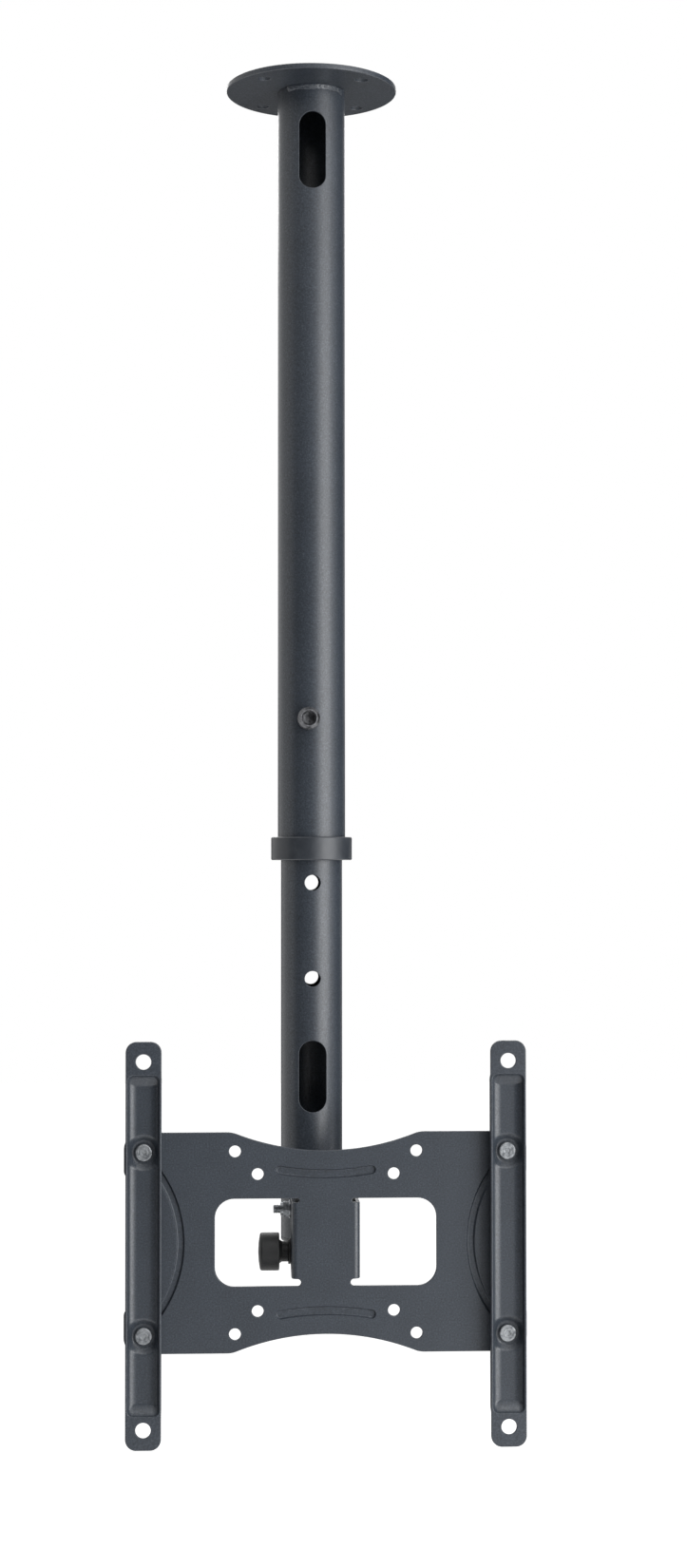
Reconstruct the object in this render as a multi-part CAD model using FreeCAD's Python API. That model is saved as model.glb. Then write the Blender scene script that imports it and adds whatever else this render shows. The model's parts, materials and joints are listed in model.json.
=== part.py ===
import FreeCAD, Part
import math
import os

# Ceiling mount for a television: a flange and outer tube hang from the ceiling, an inner tube
# telescopes and turns in the outer one, and a pressed plate with two arms tilts at its lower end.
# Millimetres. The origin is the middle of the flange's upper face, +Z is up, the screen faces -Y.

# Ceiling flange
flange_diameter = 98.0
flange_thickness = 3.0
flange_edge_round = 0.6
flange_hole_diameter = 7.0
flange_hole_circle = 78.0
flange_hole_count = 4
flange_weld_height = 6.0
flange_weld_width = 4.4
flange_weld_bulge = 0.85        # the bead's crown above its straight legs

# Outer tube
outer_tube_diameter = 38.6
outer_tube_wall = 1.5
outer_tube_length = 440.5
upper_slot_width = 15.0
upper_slot_height = 44.0
upper_slot_drop = 37.6          # from the tube's upper end to the slot's middle

# Inner tube
tube_clearance = 0.3            # radial, between the tubes
inner_tube_wall = 1.5
inner_tube_length = 414.5
extension = 217.0               # the inner tube's lower end under the outer tube's lower end
cross_hole_diameter = 8.8
cross_hole_pitch = 54.4
cross_hole_count = 5
cross_hole_rise = 147.1         # lowest hole above the tube's lower end
lower_slot_width = 15.4
lower_slot_height = 40.3
lower_slot_rise = 91.9          # slot's middle above the tube's lower end

# Collar on the outer tube's lower end
collar_diameter = 46.3
collar_height = 13.2
collar_lip = 2.7
collar_chamfer = 1.1
collar_fit = 0.02               # radial, on the outer tube

# Guide ring in the inner tube's upper end
guide_flange_height = 4.0
guide_spigot_length = 12.0
guide_hole_diameter = 24.0
guide_slide_gap = 0.1           # radial, in the outer tube
guide_turn_gap = 0.05           # radial, in the inner tube

# End cap in the inner tube's lower end
cap_flange_height = 2.4
cap_spigot_length = 12.0
cap_spigot_wall = 2.0
cap_edge_round = 1.2

# Clamp screw and its threaded boss on the outer tube
clamp_rise = 77.3               # above the outer tube's lower end
clamp_side = -2.4               # across the tube's front
clamp_thread_diameter = 8.0
clamp_head_diameter = 13.0
clamp_head_height = 8.0
clamp_socket_flats = 6.0
clamp_socket_depth = 4.0
clamp_head_chamfer = 0.9
clamp_boss_diameter = 12.4
clamp_boss_height = 3.4
clamp_head_gap = 0.4            # between the head and the boss
clamp_tip_gap = 0.3             # between the tip and the inner tube
thread_gap = 0.08               # radial, screws that turn in a hole

# Screen hole patterns, squares of the standard sizes
pattern_small = 75.0
pattern_medium = 100.0
pattern_large = 200.0

# Screen plate, pressed from one sheet
sheet = 2.3
plate_overhang = 11.0           # the plate's ends past the arms' middle lines
plate_margin = 10.5             # its upper and lower edges past the medium pattern's holes
plate_corner_round = 9.0
plate_reach = 54.0              # front face to the pole's axis
plate_side = 6.0                # plate's middle to the right of the pole's axis
plate_rise = 4.1                # plate's middle above the inner tube's lower end
waist_half_width = 51.5         # the curved waist of the upper and lower edges
waist_depth = 10.2
waist_kink_round = 15.0
end_arc_radius = 52.0           # hollow end edges and the grooves beside them share one centre
end_arc_outside = 35.7          # that centre past the plate's end
end_arc_round = 4.0
plate_hole_diameter = 6.5

# Pressed ribs and grooves in the plate
press_depth = 1.4
rib_width = 5.0
rib_half_length = 25.2
rib_curve_radius = 150.0
rib_from_waist = 12.8
groove_width = 4.4
groove_arc_radius = 66.8
groove_half_angle = 36.0
press_slope = 0.4               # how far a pressed wall leans in

# Window, web and ears of the plate
window_half_width = 61.0
window_half_height = 24.0
window_corner_round = 10.5
web_half_width = 15.6
bend_inner_radius = 1.0
ear_behind_hinge = 10.0
ear_taper_start = -10.5
ear_taper_foot = 4.0            # depth left at the ear's lower end, past the bend
ear_corner_round = 4.0
relief_top_radius = 1.1
relief_bottom_radius = 1.9

# Hinge and tilt lock
hinge_reach = 36.0              # hinge axis to the pole's axis
hinge_rise = 16.0               # above the plate's middle
hinge_bolt_diameter = 5.0
hinge_head_diameter = 9.2
hinge_socket_flats = 3.0
hinge_socket_depth = 1.7
hinge_tip_chamfer = 0.5
hinge_thread_stickout = 4.0
hinge_nut_flats = 8.0
hinge_nut_height = 3.2
hinge_nut_chamfer = 0.35
hinge_crown_step = 0.2          # from the nut's flats in to its crown
hinge_crown_wall = 0.6
hinge_insert_height = 1.4
hinge_washer_diameter = 10.0
hinge_washer_thickness = 1.0
lock_radius = 23.5              # hinge axis to the knob's axis
tilt_down = 15.0                # degrees
tilt_up = 5.0
lock_stud_diameter = 6.0
lock_stud_overhang = 1.0        # past the lock nut
lock_slot_gap = 0.35
lock_nut_flats = 10.0
lock_nut_height = 5.0
face_gap = 0.1                  # between flat faces that turn on each other

# Yoke between the ears
yoke_sheet = 2.5
yoke_bend_radius = 4.0
pivot_washer_thickness = 1.0
pivot_washer_diameter = 12.0
yoke_hinge_round = 9.0
yoke_lock_round = 8.0
yoke_top = 9.0                  # above the hinge axis
yoke_weld_radius = 2.6
yoke_weld_side = 8.4
yoke_weld_back = 1.0            # bead's middle behind the yoke's web
yoke_weld_margin = 5.0

# Knob
knob_diameter = 21.0
knob_length = 11.7
knob_crown = 1.1
knob_edge_round = 1.4
knob_back_round = 0.7
knob_neck_diameter = 11.3
knob_neck_length = 5.0
knob_washer_diameter = 14.0
knob_washer_thickness = 1.3
knob_bore_depth = 9.0

# Arms, pressed channels on the plate's front
arm_width = 19.6
arm_end_margin = 11.0           # past the large pattern's holes
arm_corner_round = 6.0
arm_sheet = 2.0
arm_wall = 1.7
arm_stand = 9.3                 # the tabs' front face ahead of the plate's front face
arm_floor_stand = 2.5           # the channel floor's back ahead of the plate's front face
arm_trough_margin = 7.5         # from the large pattern's holes in to the trough
arm_trough_corner = 3.2         # inside, at the trough's ends
arm_floor_round = 1.4
arm_rim_round = 0.7
arm_hole_diameter = 8.4
dimple_mouth_diameter = 20.0    # the trough's walls clip it
dimple_floor_diameter = 12.4
rivet_diameter = 5.0
rivet_head_diameter = 9.5
rivet_head_height = 2.2
rivet_head_round = 0.66
rivet_tail_diameter = 8.0
rivet_tail_height = 1.6
rivet_dish_diameter = 3.0
rivet_dish_floor = 1.5
rivet_dish_depth = 0.35

# For cutting and finding
cut_margin = 1.0                # how far a cutting shape starts outside a tube
near_enough = 0.001             # places nearer than this are the same

# Places that follow from the sizes above
outer_radius = outer_tube_diameter / 2
outer_bore = outer_radius - outer_tube_wall
inner_radius = outer_bore - tube_clearance
inner_bore = inner_radius - inner_tube_wall
outer_top = -flange_thickness
outer_end = outer_top - outer_tube_length
inner_end = outer_end - extension
inner_top = inner_end + inner_tube_length
collar_end = outer_end - collar_lip
clamp_z = outer_end + clamp_rise
boss_face = outer_radius + clamp_boss_height
plate_width = pattern_large + 2 * plate_overhang
plate_height = pattern_medium + 2 * plate_margin
end_arc_centre = plate_width / 2 + end_arc_outside
arm_half_length = pattern_large / 2 + arm_end_margin
arm_trough_half_length = pattern_large / 2 - arm_trough_margin
plate_x = plate_side
plate_z = inner_end + plate_rise
plate_front = -plate_reach
plate_back = plate_front + sheet
hinge_y = -hinge_reach
hinge_z = plate_z + hinge_rise
lock_z = hinge_z - lock_radius
ear_outer = web_half_width + bend_inner_radius + sheet
ear_inner = ear_outer - sheet
yoke_outer = ear_inner - pivot_washer_thickness - 2 * face_gap
yoke_inner = yoke_outer - yoke_sheet
yoke_back = -inner_radius
tab_front = plate_front - arm_stand
floor_back = plate_front - arm_floor_stand
floor_front = floor_back - arm_sheet
left_ear_face = plate_x - ear_outer
right_ear_face = plate_x + ear_outer
hinge_washer_face = left_ear_face - face_gap - hinge_washer_thickness
hinge_insert_radius = hinge_nut_flats / 2 - hinge_crown_step - hinge_crown_wall
knob_washer_left = left_ear_face - face_gap - knob_washer_thickness
knob_grip_right = knob_washer_left - knob_neck_length

up = FreeCAD.Vector(0, 0, 1)
right = FreeCAD.Vector(1, 0, 0)
back = FreeCAD.Vector(0, 1, 0)


def point(x, y, z):
    return FreeCAD.Vector(x, y, z)


def block(x0, x1, y0, y1, z0, z1):
    return Part.makeBox(x1 - x0, y1 - y0, z1 - z0, point(x0, y0, z0))


def disc(radius, length, base, direction):
    return Part.makeCylinder(radius, length, base, direction)


def ring(outer, bore, length, base, direction):
    return disc(outer, length, base, direction).cut(disc(bore, length, base, direction))


def turned(profile, axis_point, axis_direction):
    """A solid of revolution from a closed list of points in one plane."""
    wire = Part.makePolygon(profile + [profile[0]])
    return Part.Face(wire).revolve(axis_point, axis_direction, 360)


def stadium(width, height, x, z, y0, y1):
    """An upright slot with round ends, through the y range."""
    radius = width / 2
    straight = height / 2 - radius
    body = block(x - radius, x + radius, y0, y1, z - straight, z + straight)
    for side in (-1, 1):
        body = body.fuse(disc(radius, y1 - y0, point(x, y0, z + side * straight), back))
    return body.removeSplitter()


def pillow(half_width, half_height, corner, x, z, y0, y1):
    """An upright block with rounded corners, centred on x and z."""
    body = block(x - half_width, x + half_width, y0, y1, z - half_height, z + half_height)
    corners = [(x + i * half_width, z + k * half_height) for i in (-1, 1) for k in (-1, 1)]
    return body.makeFillet(corner, edges_along_y(body, corners))


def hexagon(flats, length, base, axis):
    """A hexagonal prism with flats facing up and down, along +X or +Y."""
    corner = flats / math.sqrt(3)
    corners = []
    for step in range(6):
        angle = math.radians(60 * step)
        across, rise = corner * math.cos(angle), corner * math.sin(angle)
        shift = point(0, across, rise) if axis.x else point(across, 0, rise)
        corners.append(base + shift)
    face = Part.Face(Part.makePolygon(corners + [corners[0]]))
    return face.extrude(axis * length)


def edges_along_y(shape, places):
    """Straight edges along Y whose x and z are in the list of places."""
    found = []
    for edge in shape.Edges:
        if len(edge.Vertexes) != 2:
            continue
        a, b = edge.Vertexes[0].Point, edge.Vertexes[1].Point
        if math.hypot(a.x - b.x, a.z - b.z) > near_enough:
            continue
        if any(math.hypot(a.x - x, a.z - z) < near_enough for x, z in places):
            found.append(edge)
    return found


def edges_in_plane_y(shape, y):
    """Edges that lie wholly at one y."""
    return [e for e in shape.Edges
            if abs(e.BoundBox.YMin - y) < near_enough and abs(e.BoundBox.YMax - y) < near_enough]


def arc_band(centre_x, centre_z, radius, middle_angle, half_angle, width, y):
    """The outline of a curved slot of even width, in the plane at y."""
    def at(r, degrees):
        a = math.radians(degrees)
        return point(centre_x + r * math.cos(a), y, centre_z + r * math.sin(a))

    inner, outer = radius - width / 2, radius + width / 2
    start, end = middle_angle - half_angle, middle_angle + half_angle
    end_turn = math.degrees(width / 2 / radius)
    edges = [
        Part.Arc(at(outer, start), at(outer, middle_angle), at(outer, end)).toShape(),
        Part.Arc(at(outer, end), at(radius, end + end_turn), at(inner, end)).toShape(),
        Part.Arc(at(inner, end), at(inner, middle_angle), at(inner, start)).toShape(),
        Part.Arc(at(inner, start), at(radius, start - end_turn), at(outer, start)).toShape(),
    ]
    return Part.Wire(edges)


def pressed_band(centre_x, centre_z, radius, middle_angle, half_angle, width):
    """The hollow and the ridge that one press stroke makes in the plate, with leaning walls."""
    floor_width = width - 2 * press_slope

    def loft(near_width, near_y, far_width, far_y):
        near = arc_band(centre_x, centre_z, radius, middle_angle, half_angle, near_width, near_y)
        far = arc_band(centre_x, centre_z, radius, middle_angle, half_angle, far_width, far_y)
        return Part.makeLoft([near, far], True, True)

    hollow = loft(width, plate_front, floor_width, plate_front + press_depth)
    ridge = loft(width + sheet, plate_back, floor_width + sheet, plate_back + press_depth)
    return hollow, ridge


def make_ceiling_plate():
    plate = disc(flange_diameter / 2, flange_thickness, point(0, 0, -flange_thickness), up)
    rims = [e for e in plate.Edges if len(e.Vertexes) == 1]
    plate = plate.makeFillet(flange_edge_round, rims)
    for step in range(flange_hole_count):
        angle = math.radians(360 / flange_hole_count * (step + 0.5))
        x = flange_hole_circle / 2 * math.cos(angle)
        y = flange_hole_circle / 2 * math.sin(angle)
        hole = disc(flange_hole_diameter / 2, flange_thickness, point(x, y, -flange_thickness), up)
        plate = plate.cut(hole)
    return plate


def make_ceiling_weld():
    """A full fillet weld round the tube, slightly crowned."""
    wide = outer_radius + flange_weld_width
    low = outer_top - flange_weld_height
    slope = math.hypot(flange_weld_width, flange_weld_height)
    crown = point(outer_radius + flange_weld_width / 2 + flange_weld_bulge * flange_weld_height / slope, 0,
                  outer_top - flange_weld_height / 2 - flange_weld_bulge * flange_weld_width / slope)
    edges = [
        Part.LineSegment(point(outer_radius, 0, outer_top), point(wide, 0, outer_top)).toShape(),
        Part.Arc(point(wide, 0, outer_top), crown, point(outer_radius, 0, low)).toShape(),
        Part.LineSegment(point(outer_radius, 0, low), point(outer_radius, 0, outer_top)).toShape(),
    ]
    return Part.Face(Part.Wire(edges)).revolve(point(0, 0, 0), up, 360)


def make_outer_tube():
    tube = ring(outer_radius, outer_bore, outer_tube_length, point(0, 0, outer_end), up)
    slot_z = outer_top - upper_slot_drop
    tube = tube.cut(stadium(upper_slot_width, upper_slot_height, 0, slot_z, -outer_radius - cut_margin, 0))
    hole_radius = clamp_thread_diameter / 2 + thread_gap
    start = point(clamp_side, -outer_radius - cut_margin, clamp_z)
    return tube.cut(disc(hole_radius, outer_radius, start, back))


def make_collar_ring():
    top = collar_end + collar_height
    outside = collar_diameter / 2
    seat = outer_radius + collar_fit
    lip = inner_radius + tube_clearance
    profile = [
        point(lip, 0, collar_end), point(outside - collar_chamfer, 0, collar_end),
        point(outside, 0, collar_end + collar_chamfer), point(outside, 0, top - collar_chamfer),
        point(outside - collar_chamfer, 0, top), point(seat, 0, top),
        point(seat, 0, outer_end), point(lip, 0, outer_end),
    ]
    return turned(profile, point(0, 0, 0), up)


def make_screw_boss():
    """A round threaded boss, shaped to the tube that it is welded on."""
    length = clamp_boss_height + outer_tube_wall
    base = point(clamp_side, -boss_face, clamp_z)
    boss = disc(clamp_boss_diameter / 2, length, base, back)
    seat = disc(outer_radius, 2 * clamp_boss_diameter, point(0, 0, clamp_z - clamp_boss_diameter), up)
    boss = boss.cut(seat)
    return boss.cut(disc(clamp_thread_diameter / 2 + thread_gap, length, base, back))


def make_clamp_screw():
    """A socket-head cap screw whose tip bears on the inner tube."""
    head_back = -boss_face - clamp_head_gap
    head_front = head_back - clamp_head_height
    centre = point(clamp_side, head_front, clamp_z)
    head = disc(clamp_head_diameter / 2, clamp_head_height, centre, back)
    head = head.makeChamfer(clamp_head_chamfer, edges_in_plane_y(head, head_front))
    head = head.cut(hexagon(clamp_socket_flats, clamp_socket_depth, centre, back))
    tip = -inner_radius - clamp_tip_gap
    shank = disc(clamp_thread_diameter / 2, tip - head_back, point(clamp_side, head_back, clamp_z), back)
    return head.fuse(shank)


def make_guide_ring():
    """The bush in the inner tube's upper end that keeps it centred in the outer tube."""
    wide = outer_bore - guide_slide_gap
    spigot = inner_bore - guide_turn_gap
    hole = guide_hole_diameter / 2
    top = inner_top + face_gap + guide_flange_height
    profile = [
        point(hole, 0, inner_top - guide_spigot_length), point(spigot, 0, inner_top - guide_spigot_length),
        point(spigot, 0, inner_top + face_gap), point(wide, 0, inner_top + face_gap),
        point(wide, 0, top), point(hole, 0, top),
    ]
    return turned(profile, point(0, 0, 0), up)


def make_inner_tube():
    tube = ring(inner_radius, inner_bore, inner_tube_length, point(0, 0, inner_end), up)
    for step in range(cross_hole_count):
        z = inner_end + cross_hole_rise + step * cross_hole_pitch
        start = point(0, -inner_radius, z)
        tube = tube.cut(disc(cross_hole_diameter / 2, 2 * inner_radius, start, back))
    slot_z = inner_end + lower_slot_rise
    return tube.cut(stadium(lower_slot_width, lower_slot_height, 0, slot_z, -inner_radius - cut_margin, 0))


def make_tube_end_cap():
    """A push-in cap, hollow above so that it grips the bore."""
    low = inner_end - cap_flange_height
    top = inner_end + cap_spigot_length
    core = inner_bore - cap_spigot_wall
    cap = disc(inner_radius, cap_flange_height, point(0, 0, low), up)
    rim = [e for e in cap.Edges if len(e.Vertexes) == 1 and abs(e.BoundBox.ZMax - low) < near_enough]
    cap = cap.makeFillet(cap_edge_round, rim)
    return cap.fuse(ring(inner_bore, core, top - inner_end, point(0, 0, inner_end), up))


def yoke_side_profile(x):
    """One cheek's outline seen from the side: round at the hinge and at the lock, square behind."""
    top = hinge_z + yoke_top
    low = lock_z - yoke_lock_round
    hinge_front = hinge_y - yoke_hinge_round
    lock_front = hinge_y - yoke_lock_round
    bend = math.sqrt(0.5)
    hinge_shoulder = point(x, hinge_y - yoke_hinge_round * bend, hinge_z + yoke_hinge_round * bend)
    lock_shoulder = point(x, hinge_y - yoke_lock_round * bend, lock_z - yoke_lock_round * bend)
    edges = [
        Part.LineSegment(point(x, yoke_back, top), point(x, hinge_y, top)).toShape(),
        Part.Arc(point(x, hinge_y, top), hinge_shoulder, point(x, hinge_front, hinge_z)).toShape(),
        Part.LineSegment(point(x, hinge_front, hinge_z), point(x, lock_front, lock_z)).toShape(),
        Part.Arc(point(x, lock_front, lock_z), lock_shoulder, point(x, hinge_y, low)).toShape(),
        Part.LineSegment(point(x, hinge_y, low), point(x, yoke_back, low)).toShape(),
        Part.LineSegment(point(x, yoke_back, low), point(x, yoke_back, top)).toShape(),
    ]
    return Part.Face(Part.Wire(edges))


def make_tilt_yoke():
    """A folded U bracket: its web is welded to the tube and its cheeks carry the hinge."""
    body = yoke_side_profile(plate_x - yoke_outer).extrude(right * (2 * yoke_outer))
    corners = [e for e in edges_in_plane_y(body, yoke_back) if e.BoundBox.ZLength > near_enough]
    body = body.makeFillet(yoke_bend_radius, corners)
    room_round = yoke_bend_radius - yoke_sheet
    room = block(plate_x - yoke_inner, plate_x + yoke_inner, hinge_y - 2 * yoke_hinge_round,
                 yoke_back - yoke_sheet, lock_z - 2 * yoke_lock_round, hinge_z + 2 * yoke_top)
    inside = [e for e in edges_in_plane_y(room, yoke_back - yoke_sheet) if e.BoundBox.ZLength > near_enough]
    body = body.cut(room.makeFillet(room_round, inside))
    pin_hole = hinge_bolt_diameter / 2 + thread_gap
    stud_hole = lock_stud_diameter / 2 + thread_gap
    left = plate_x - yoke_outer
    body = body.cut(disc(pin_hole, 2 * yoke_outer, point(left, hinge_y, hinge_z), right))
    return body.cut(disc(stud_hole, yoke_sheet, point(left, hinge_y, lock_z), right))


def make_yoke_weld(tube, yoke):
    """Two upright beads that fill the wedges between the tube and the yoke's web."""
    low = inner_end + yoke_weld_margin
    high = hinge_z + yoke_top - yoke_weld_margin
    beads = []
    for side in (-1, 1):
        centre = point(side * yoke_weld_side, yoke_back + yoke_weld_back, low)
        bead = disc(yoke_weld_radius, high - low, centre, up)
        bead = bead.cut(disc(inner_radius, high - low, point(0, 0, low), up)).cut(yoke)
        beads.append(max(bead.Solids, key=lambda s: s.Volume))
    return Part.makeCompound(beads)


def make_hinge_bolt():
    """A countersunk bolt, flush in the right ear, that runs through both ears and the yoke."""
    radius = hinge_bolt_diameter / 2
    cone = (hinge_head_diameter - hinge_bolt_diameter) / 2
    end = hinge_washer_face - hinge_nut_height - hinge_insert_height - hinge_thread_stickout
    bolt = disc(radius, right_ear_face - end, point(end, hinge_y, hinge_z), right)
    tip = [e for e in bolt.Edges if len(e.Vertexes) == 1 and abs(e.BoundBox.XMax - end) < near_enough]
    bolt = bolt.makeChamfer(hinge_tip_chamfer, tip)
    head_start = point(right_ear_face - cone, hinge_y, hinge_z)
    head = Part.makeCone(radius, hinge_head_diameter / 2, cone, head_start, right)
    socket_start = point(right_ear_face - hinge_socket_depth, hinge_y, hinge_z)
    socket = hexagon(hinge_socket_flats, hinge_socket_depth, socket_start, right)
    return bolt.fuse(head).cut(socket)


def make_hinge_washer():
    base = point(hinge_washer_face, hinge_y, hinge_z)
    return ring(hinge_washer_diameter / 2, hinge_bolt_diameter / 2, hinge_washer_thickness, base, right)


def make_hinge_nut():
    """A hexagon nut with a round crown that grips its plastic insert."""
    start = point(hinge_washer_face - hinge_nut_height, hinge_y, hinge_z)
    nut = hexagon(hinge_nut_flats, hinge_nut_height, start, right)
    front_radius = hinge_nut_flats / math.sqrt(3) - hinge_nut_chamfer
    cone = Part.makeCone(front_radius, front_radius + hinge_nut_height, hinge_nut_height, start, right)
    nut = nut.common(cone)
    crown_base = point(hinge_washer_face - hinge_nut_height - hinge_insert_height, hinge_y, hinge_z)
    crown_radius = hinge_nut_flats / 2 - hinge_crown_step
    nut = nut.fuse(ring(crown_radius, hinge_insert_radius, hinge_insert_height, crown_base, right))
    return nut.cut(disc(hinge_bolt_diameter / 2, hinge_nut_height, start, right))


def make_hinge_nut_insert():
    base = point(hinge_washer_face - hinge_nut_height - hinge_insert_height, hinge_y, hinge_z)
    return ring(hinge_insert_radius, hinge_bolt_diameter / 2, hinge_insert_height, base, right)


def make_pivot_washer(side):
    """A friction washer between a yoke cheek and the ear beside it."""
    inner_face = plate_x + side * yoke_outer
    start = min(inner_face, inner_face + side * pivot_washer_thickness)
    bore = hinge_bolt_diameter / 2 + thread_gap
    base = point(start, hinge_y, hinge_z)
    return ring(pivot_washer_diameter / 2, bore, pivot_washer_thickness, base, right)


def make_lock_nut():
    """The nut welded inside the left cheek, which the knob's stud screws into."""
    base = point(plate_x - yoke_inner, hinge_y, lock_z)
    nut = hexagon(lock_nut_flats, lock_nut_height, base, right)
    return nut.cut(disc(lock_stud_diameter / 2 + thread_gap, lock_nut_height, base, right))


def make_knob_grip():
    """A plain round knob with a crowned face and a neck."""
    radius = knob_diameter / 2
    grip_left = knob_grip_right - knob_length + knob_crown
    grip = disc(radius, knob_grip_right - grip_left, point(grip_left, hinge_y, lock_z), right)
    crown_radius = (radius ** 2 + knob_crown ** 2) / (2 * knob_crown)
    ball = Part.makeSphere(crown_radius, point(grip_left - knob_crown + crown_radius, hinge_y, lock_z))
    crown = disc(radius, knob_crown, point(grip_left - knob_crown, hinge_y, lock_z), right).common(ball)
    grip = grip.fuse(crown).removeSplitter()
    for place, edge_round in ((grip_left, knob_edge_round), (knob_grip_right, knob_back_round)):
        rim = [e for e in grip.Edges if len(e.Vertexes) == 1 and abs(e.BoundBox.XMin - place) < near_enough
               and abs(e.BoundBox.XMax - place) < near_enough]
        grip = grip.makeFillet(edge_round, rim)
    neck = disc(knob_neck_diameter / 2, knob_neck_length, point(knob_grip_right, hinge_y, lock_z), right)
    bore_start = point(knob_grip_right - knob_bore_depth, hinge_y, lock_z)
    bore = disc(lock_stud_diameter / 2, knob_bore_depth + knob_neck_length, bore_start, right)
    return grip.fuse(neck).cut(bore)


def make_knob_stud():
    """The threaded stud moulded into the knob."""
    start = knob_grip_right - knob_bore_depth
    end = plate_x - yoke_inner + lock_nut_height + lock_stud_overhang
    return disc(lock_stud_diameter / 2, end - start, point(start, hinge_y, lock_z), right)


def make_knob_washer():
    base = point(knob_washer_left, hinge_y, lock_z)
    return ring(knob_washer_diameter / 2, lock_stud_diameter / 2, knob_washer_thickness, base, right)


def plate_blank():
    """The plate's outline before the window is punched: waisted above and below, hollow at the ends."""
    half_width, half_height = plate_width / 2, plate_height / 2
    blank = block(plate_x - half_width, plate_x + half_width, plate_front, plate_back,
                  plate_z - half_height, plate_z + half_height)
    waist_radius = (waist_half_width ** 2 + waist_depth ** 2) / (2 * waist_depth)
    waist_centre = half_height - waist_depth + waist_radius
    corners, kinks, lobes = [], [], []
    lobe_foot = math.sqrt(end_arc_radius ** 2 - (end_arc_centre - half_width) ** 2)
    for side in (-1, 1):
        waist = point(plate_x, plate_front, plate_z + side * waist_centre)
        blank = blank.cut(disc(waist_radius, sheet, waist, back))
        hollow = point(plate_x + side * end_arc_centre, plate_front, plate_z)
        blank = blank.cut(disc(end_arc_radius, sheet, hollow, back))
        for level in (-1, 1):
            corners.append((plate_x + side * half_width, plate_z + level * half_height))
            kinks.append((plate_x + side * waist_half_width, plate_z + level * half_height))
            lobes.append((plate_x + side * half_width, plate_z + level * lobe_foot))
    for radius, places in ((plate_corner_round, corners), (waist_kink_round, kinks), (end_arc_round, lobes)):
        blank = blank.makeFillet(radius, edges_along_y(blank, places))
    return blank


def window_half(side):
    """The window beside the web on one side, with a round relief at each end of the ear."""
    web_edge = plate_x + side * web_half_width
    outer = plate_x + side * window_half_width
    low, high = plate_z - window_half_height, plate_z + window_half_height
    hole = block(min(web_edge, outer), max(web_edge, outer), plate_front, plate_back, low, high)
    hole = hole.makeFillet(window_corner_round, edges_along_y(hole, [(outer, low), (outer, high)]))
    top_relief = (relief_top_radius, high - relief_top_radius)
    bottom_relief = (relief_bottom_radius, low + relief_bottom_radius)
    for radius, z in (top_relief, bottom_relief):
        hole = hole.fuse(disc(radius, sheet, point(web_edge, plate_front, z), back))
    return hole


def ear_leaf(side):
    """One ear: a quarter bend out of the web and a flat leaf with a tapered lower corner."""
    bend_outer = bend_inner_radius + sheet
    bend_y = plate_front + bend_outer
    rear = hinge_y + ear_behind_hinge
    top = plate_z + window_half_height - 2 * relief_top_radius
    low = plate_z - window_half_height + 2 * relief_bottom_radius
    foot = bend_y + ear_taper_foot
    x = plate_x + ear_inner if side > 0 else plate_x - ear_outer
    outline = [
        point(x, bend_y, low), point(x, foot, low), point(x, rear, plate_z + ear_taper_start),
        point(x, rear, top), point(x, bend_y, top),
    ]
    leaf = Part.Face(Part.makePolygon(outline + [outline[0]])).extrude(right * sheet)
    corners = []
    for edge in edges_in_plane_y(leaf, rear):
        if edge.BoundBox.ZLength < near_enough:
            corners.append(edge)
    leaf = leaf.makeFillet(ear_corner_round, corners)
    axis = point(plate_x + side * web_half_width, bend_y, low)
    bend = ring(bend_outer, bend_inner_radius, top - low, axis, up)
    quarter_x = plate_x + side * (web_half_width + 2 * bend_outer)
    web_x = plate_x + side * web_half_width
    quarter = block(min(web_x, quarter_x), max(web_x, quarter_x), plate_front, bend_y, low, top)
    return leaf.fuse(bend.common(quarter))


def lock_slot():
    """The curved slot that the knob's stud runs in while the plate tilts."""
    radius = lock_stud_diameter / 2 + lock_slot_gap
    inner, outer = lock_radius - radius, lock_radius + radius

    def along(r, degrees):
        a = math.radians(degrees)
        return point(left_ear_face, hinge_y - r * math.sin(a), hinge_z - r * math.cos(a))

    middle = (tilt_down - tilt_up) / 2
    edges = [
        Part.Arc(along(outer, -tilt_up), along(outer, middle), along(outer, tilt_down)).toShape(),
        Part.LineSegment(along(outer, tilt_down), along(inner, tilt_down)).toShape(),
        Part.Arc(along(inner, tilt_down), along(inner, middle), along(inner, -tilt_up)).toShape(),
        Part.LineSegment(along(inner, -tilt_up), along(outer, -tilt_up)).toShape(),
    ]
    slot = Part.Face(Part.Wire(edges)).extrude(right * sheet)
    for degrees in (-tilt_up, tilt_down):
        slot = slot.fuse(disc(radius, sheet, along(lock_radius, degrees), right))
    return slot


def pressed_features():
    """Two curved ribs between the window and the waists, and a groove beside each hollow end."""
    bands = []
    rib_angle = math.degrees(rib_half_length / rib_curve_radius)
    rib_middle = plate_height / 2 - waist_depth - rib_from_waist
    for level, middle_angle in ((1, -90), (-1, 90)):
        centre_z = plate_z + level * (rib_middle + rib_curve_radius)
        band = pressed_band(plate_x, centre_z, rib_curve_radius, middle_angle, rib_angle, rib_width)
        bands.append(band)
    for side, middle_angle in ((-1, 0), (1, 180)):
        centre_x = plate_x + side * end_arc_centre
        band = pressed_band(centre_x, plate_z, groove_arc_radius, middle_angle,
                            groove_half_angle, groove_width)
        bands.append(band)
    return bands


def pattern_places(width, height):
    return [(plate_x + i * width / 2, plate_z + k * height / 2) for i in (-1, 1) for k in (-1, 1)]


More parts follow.
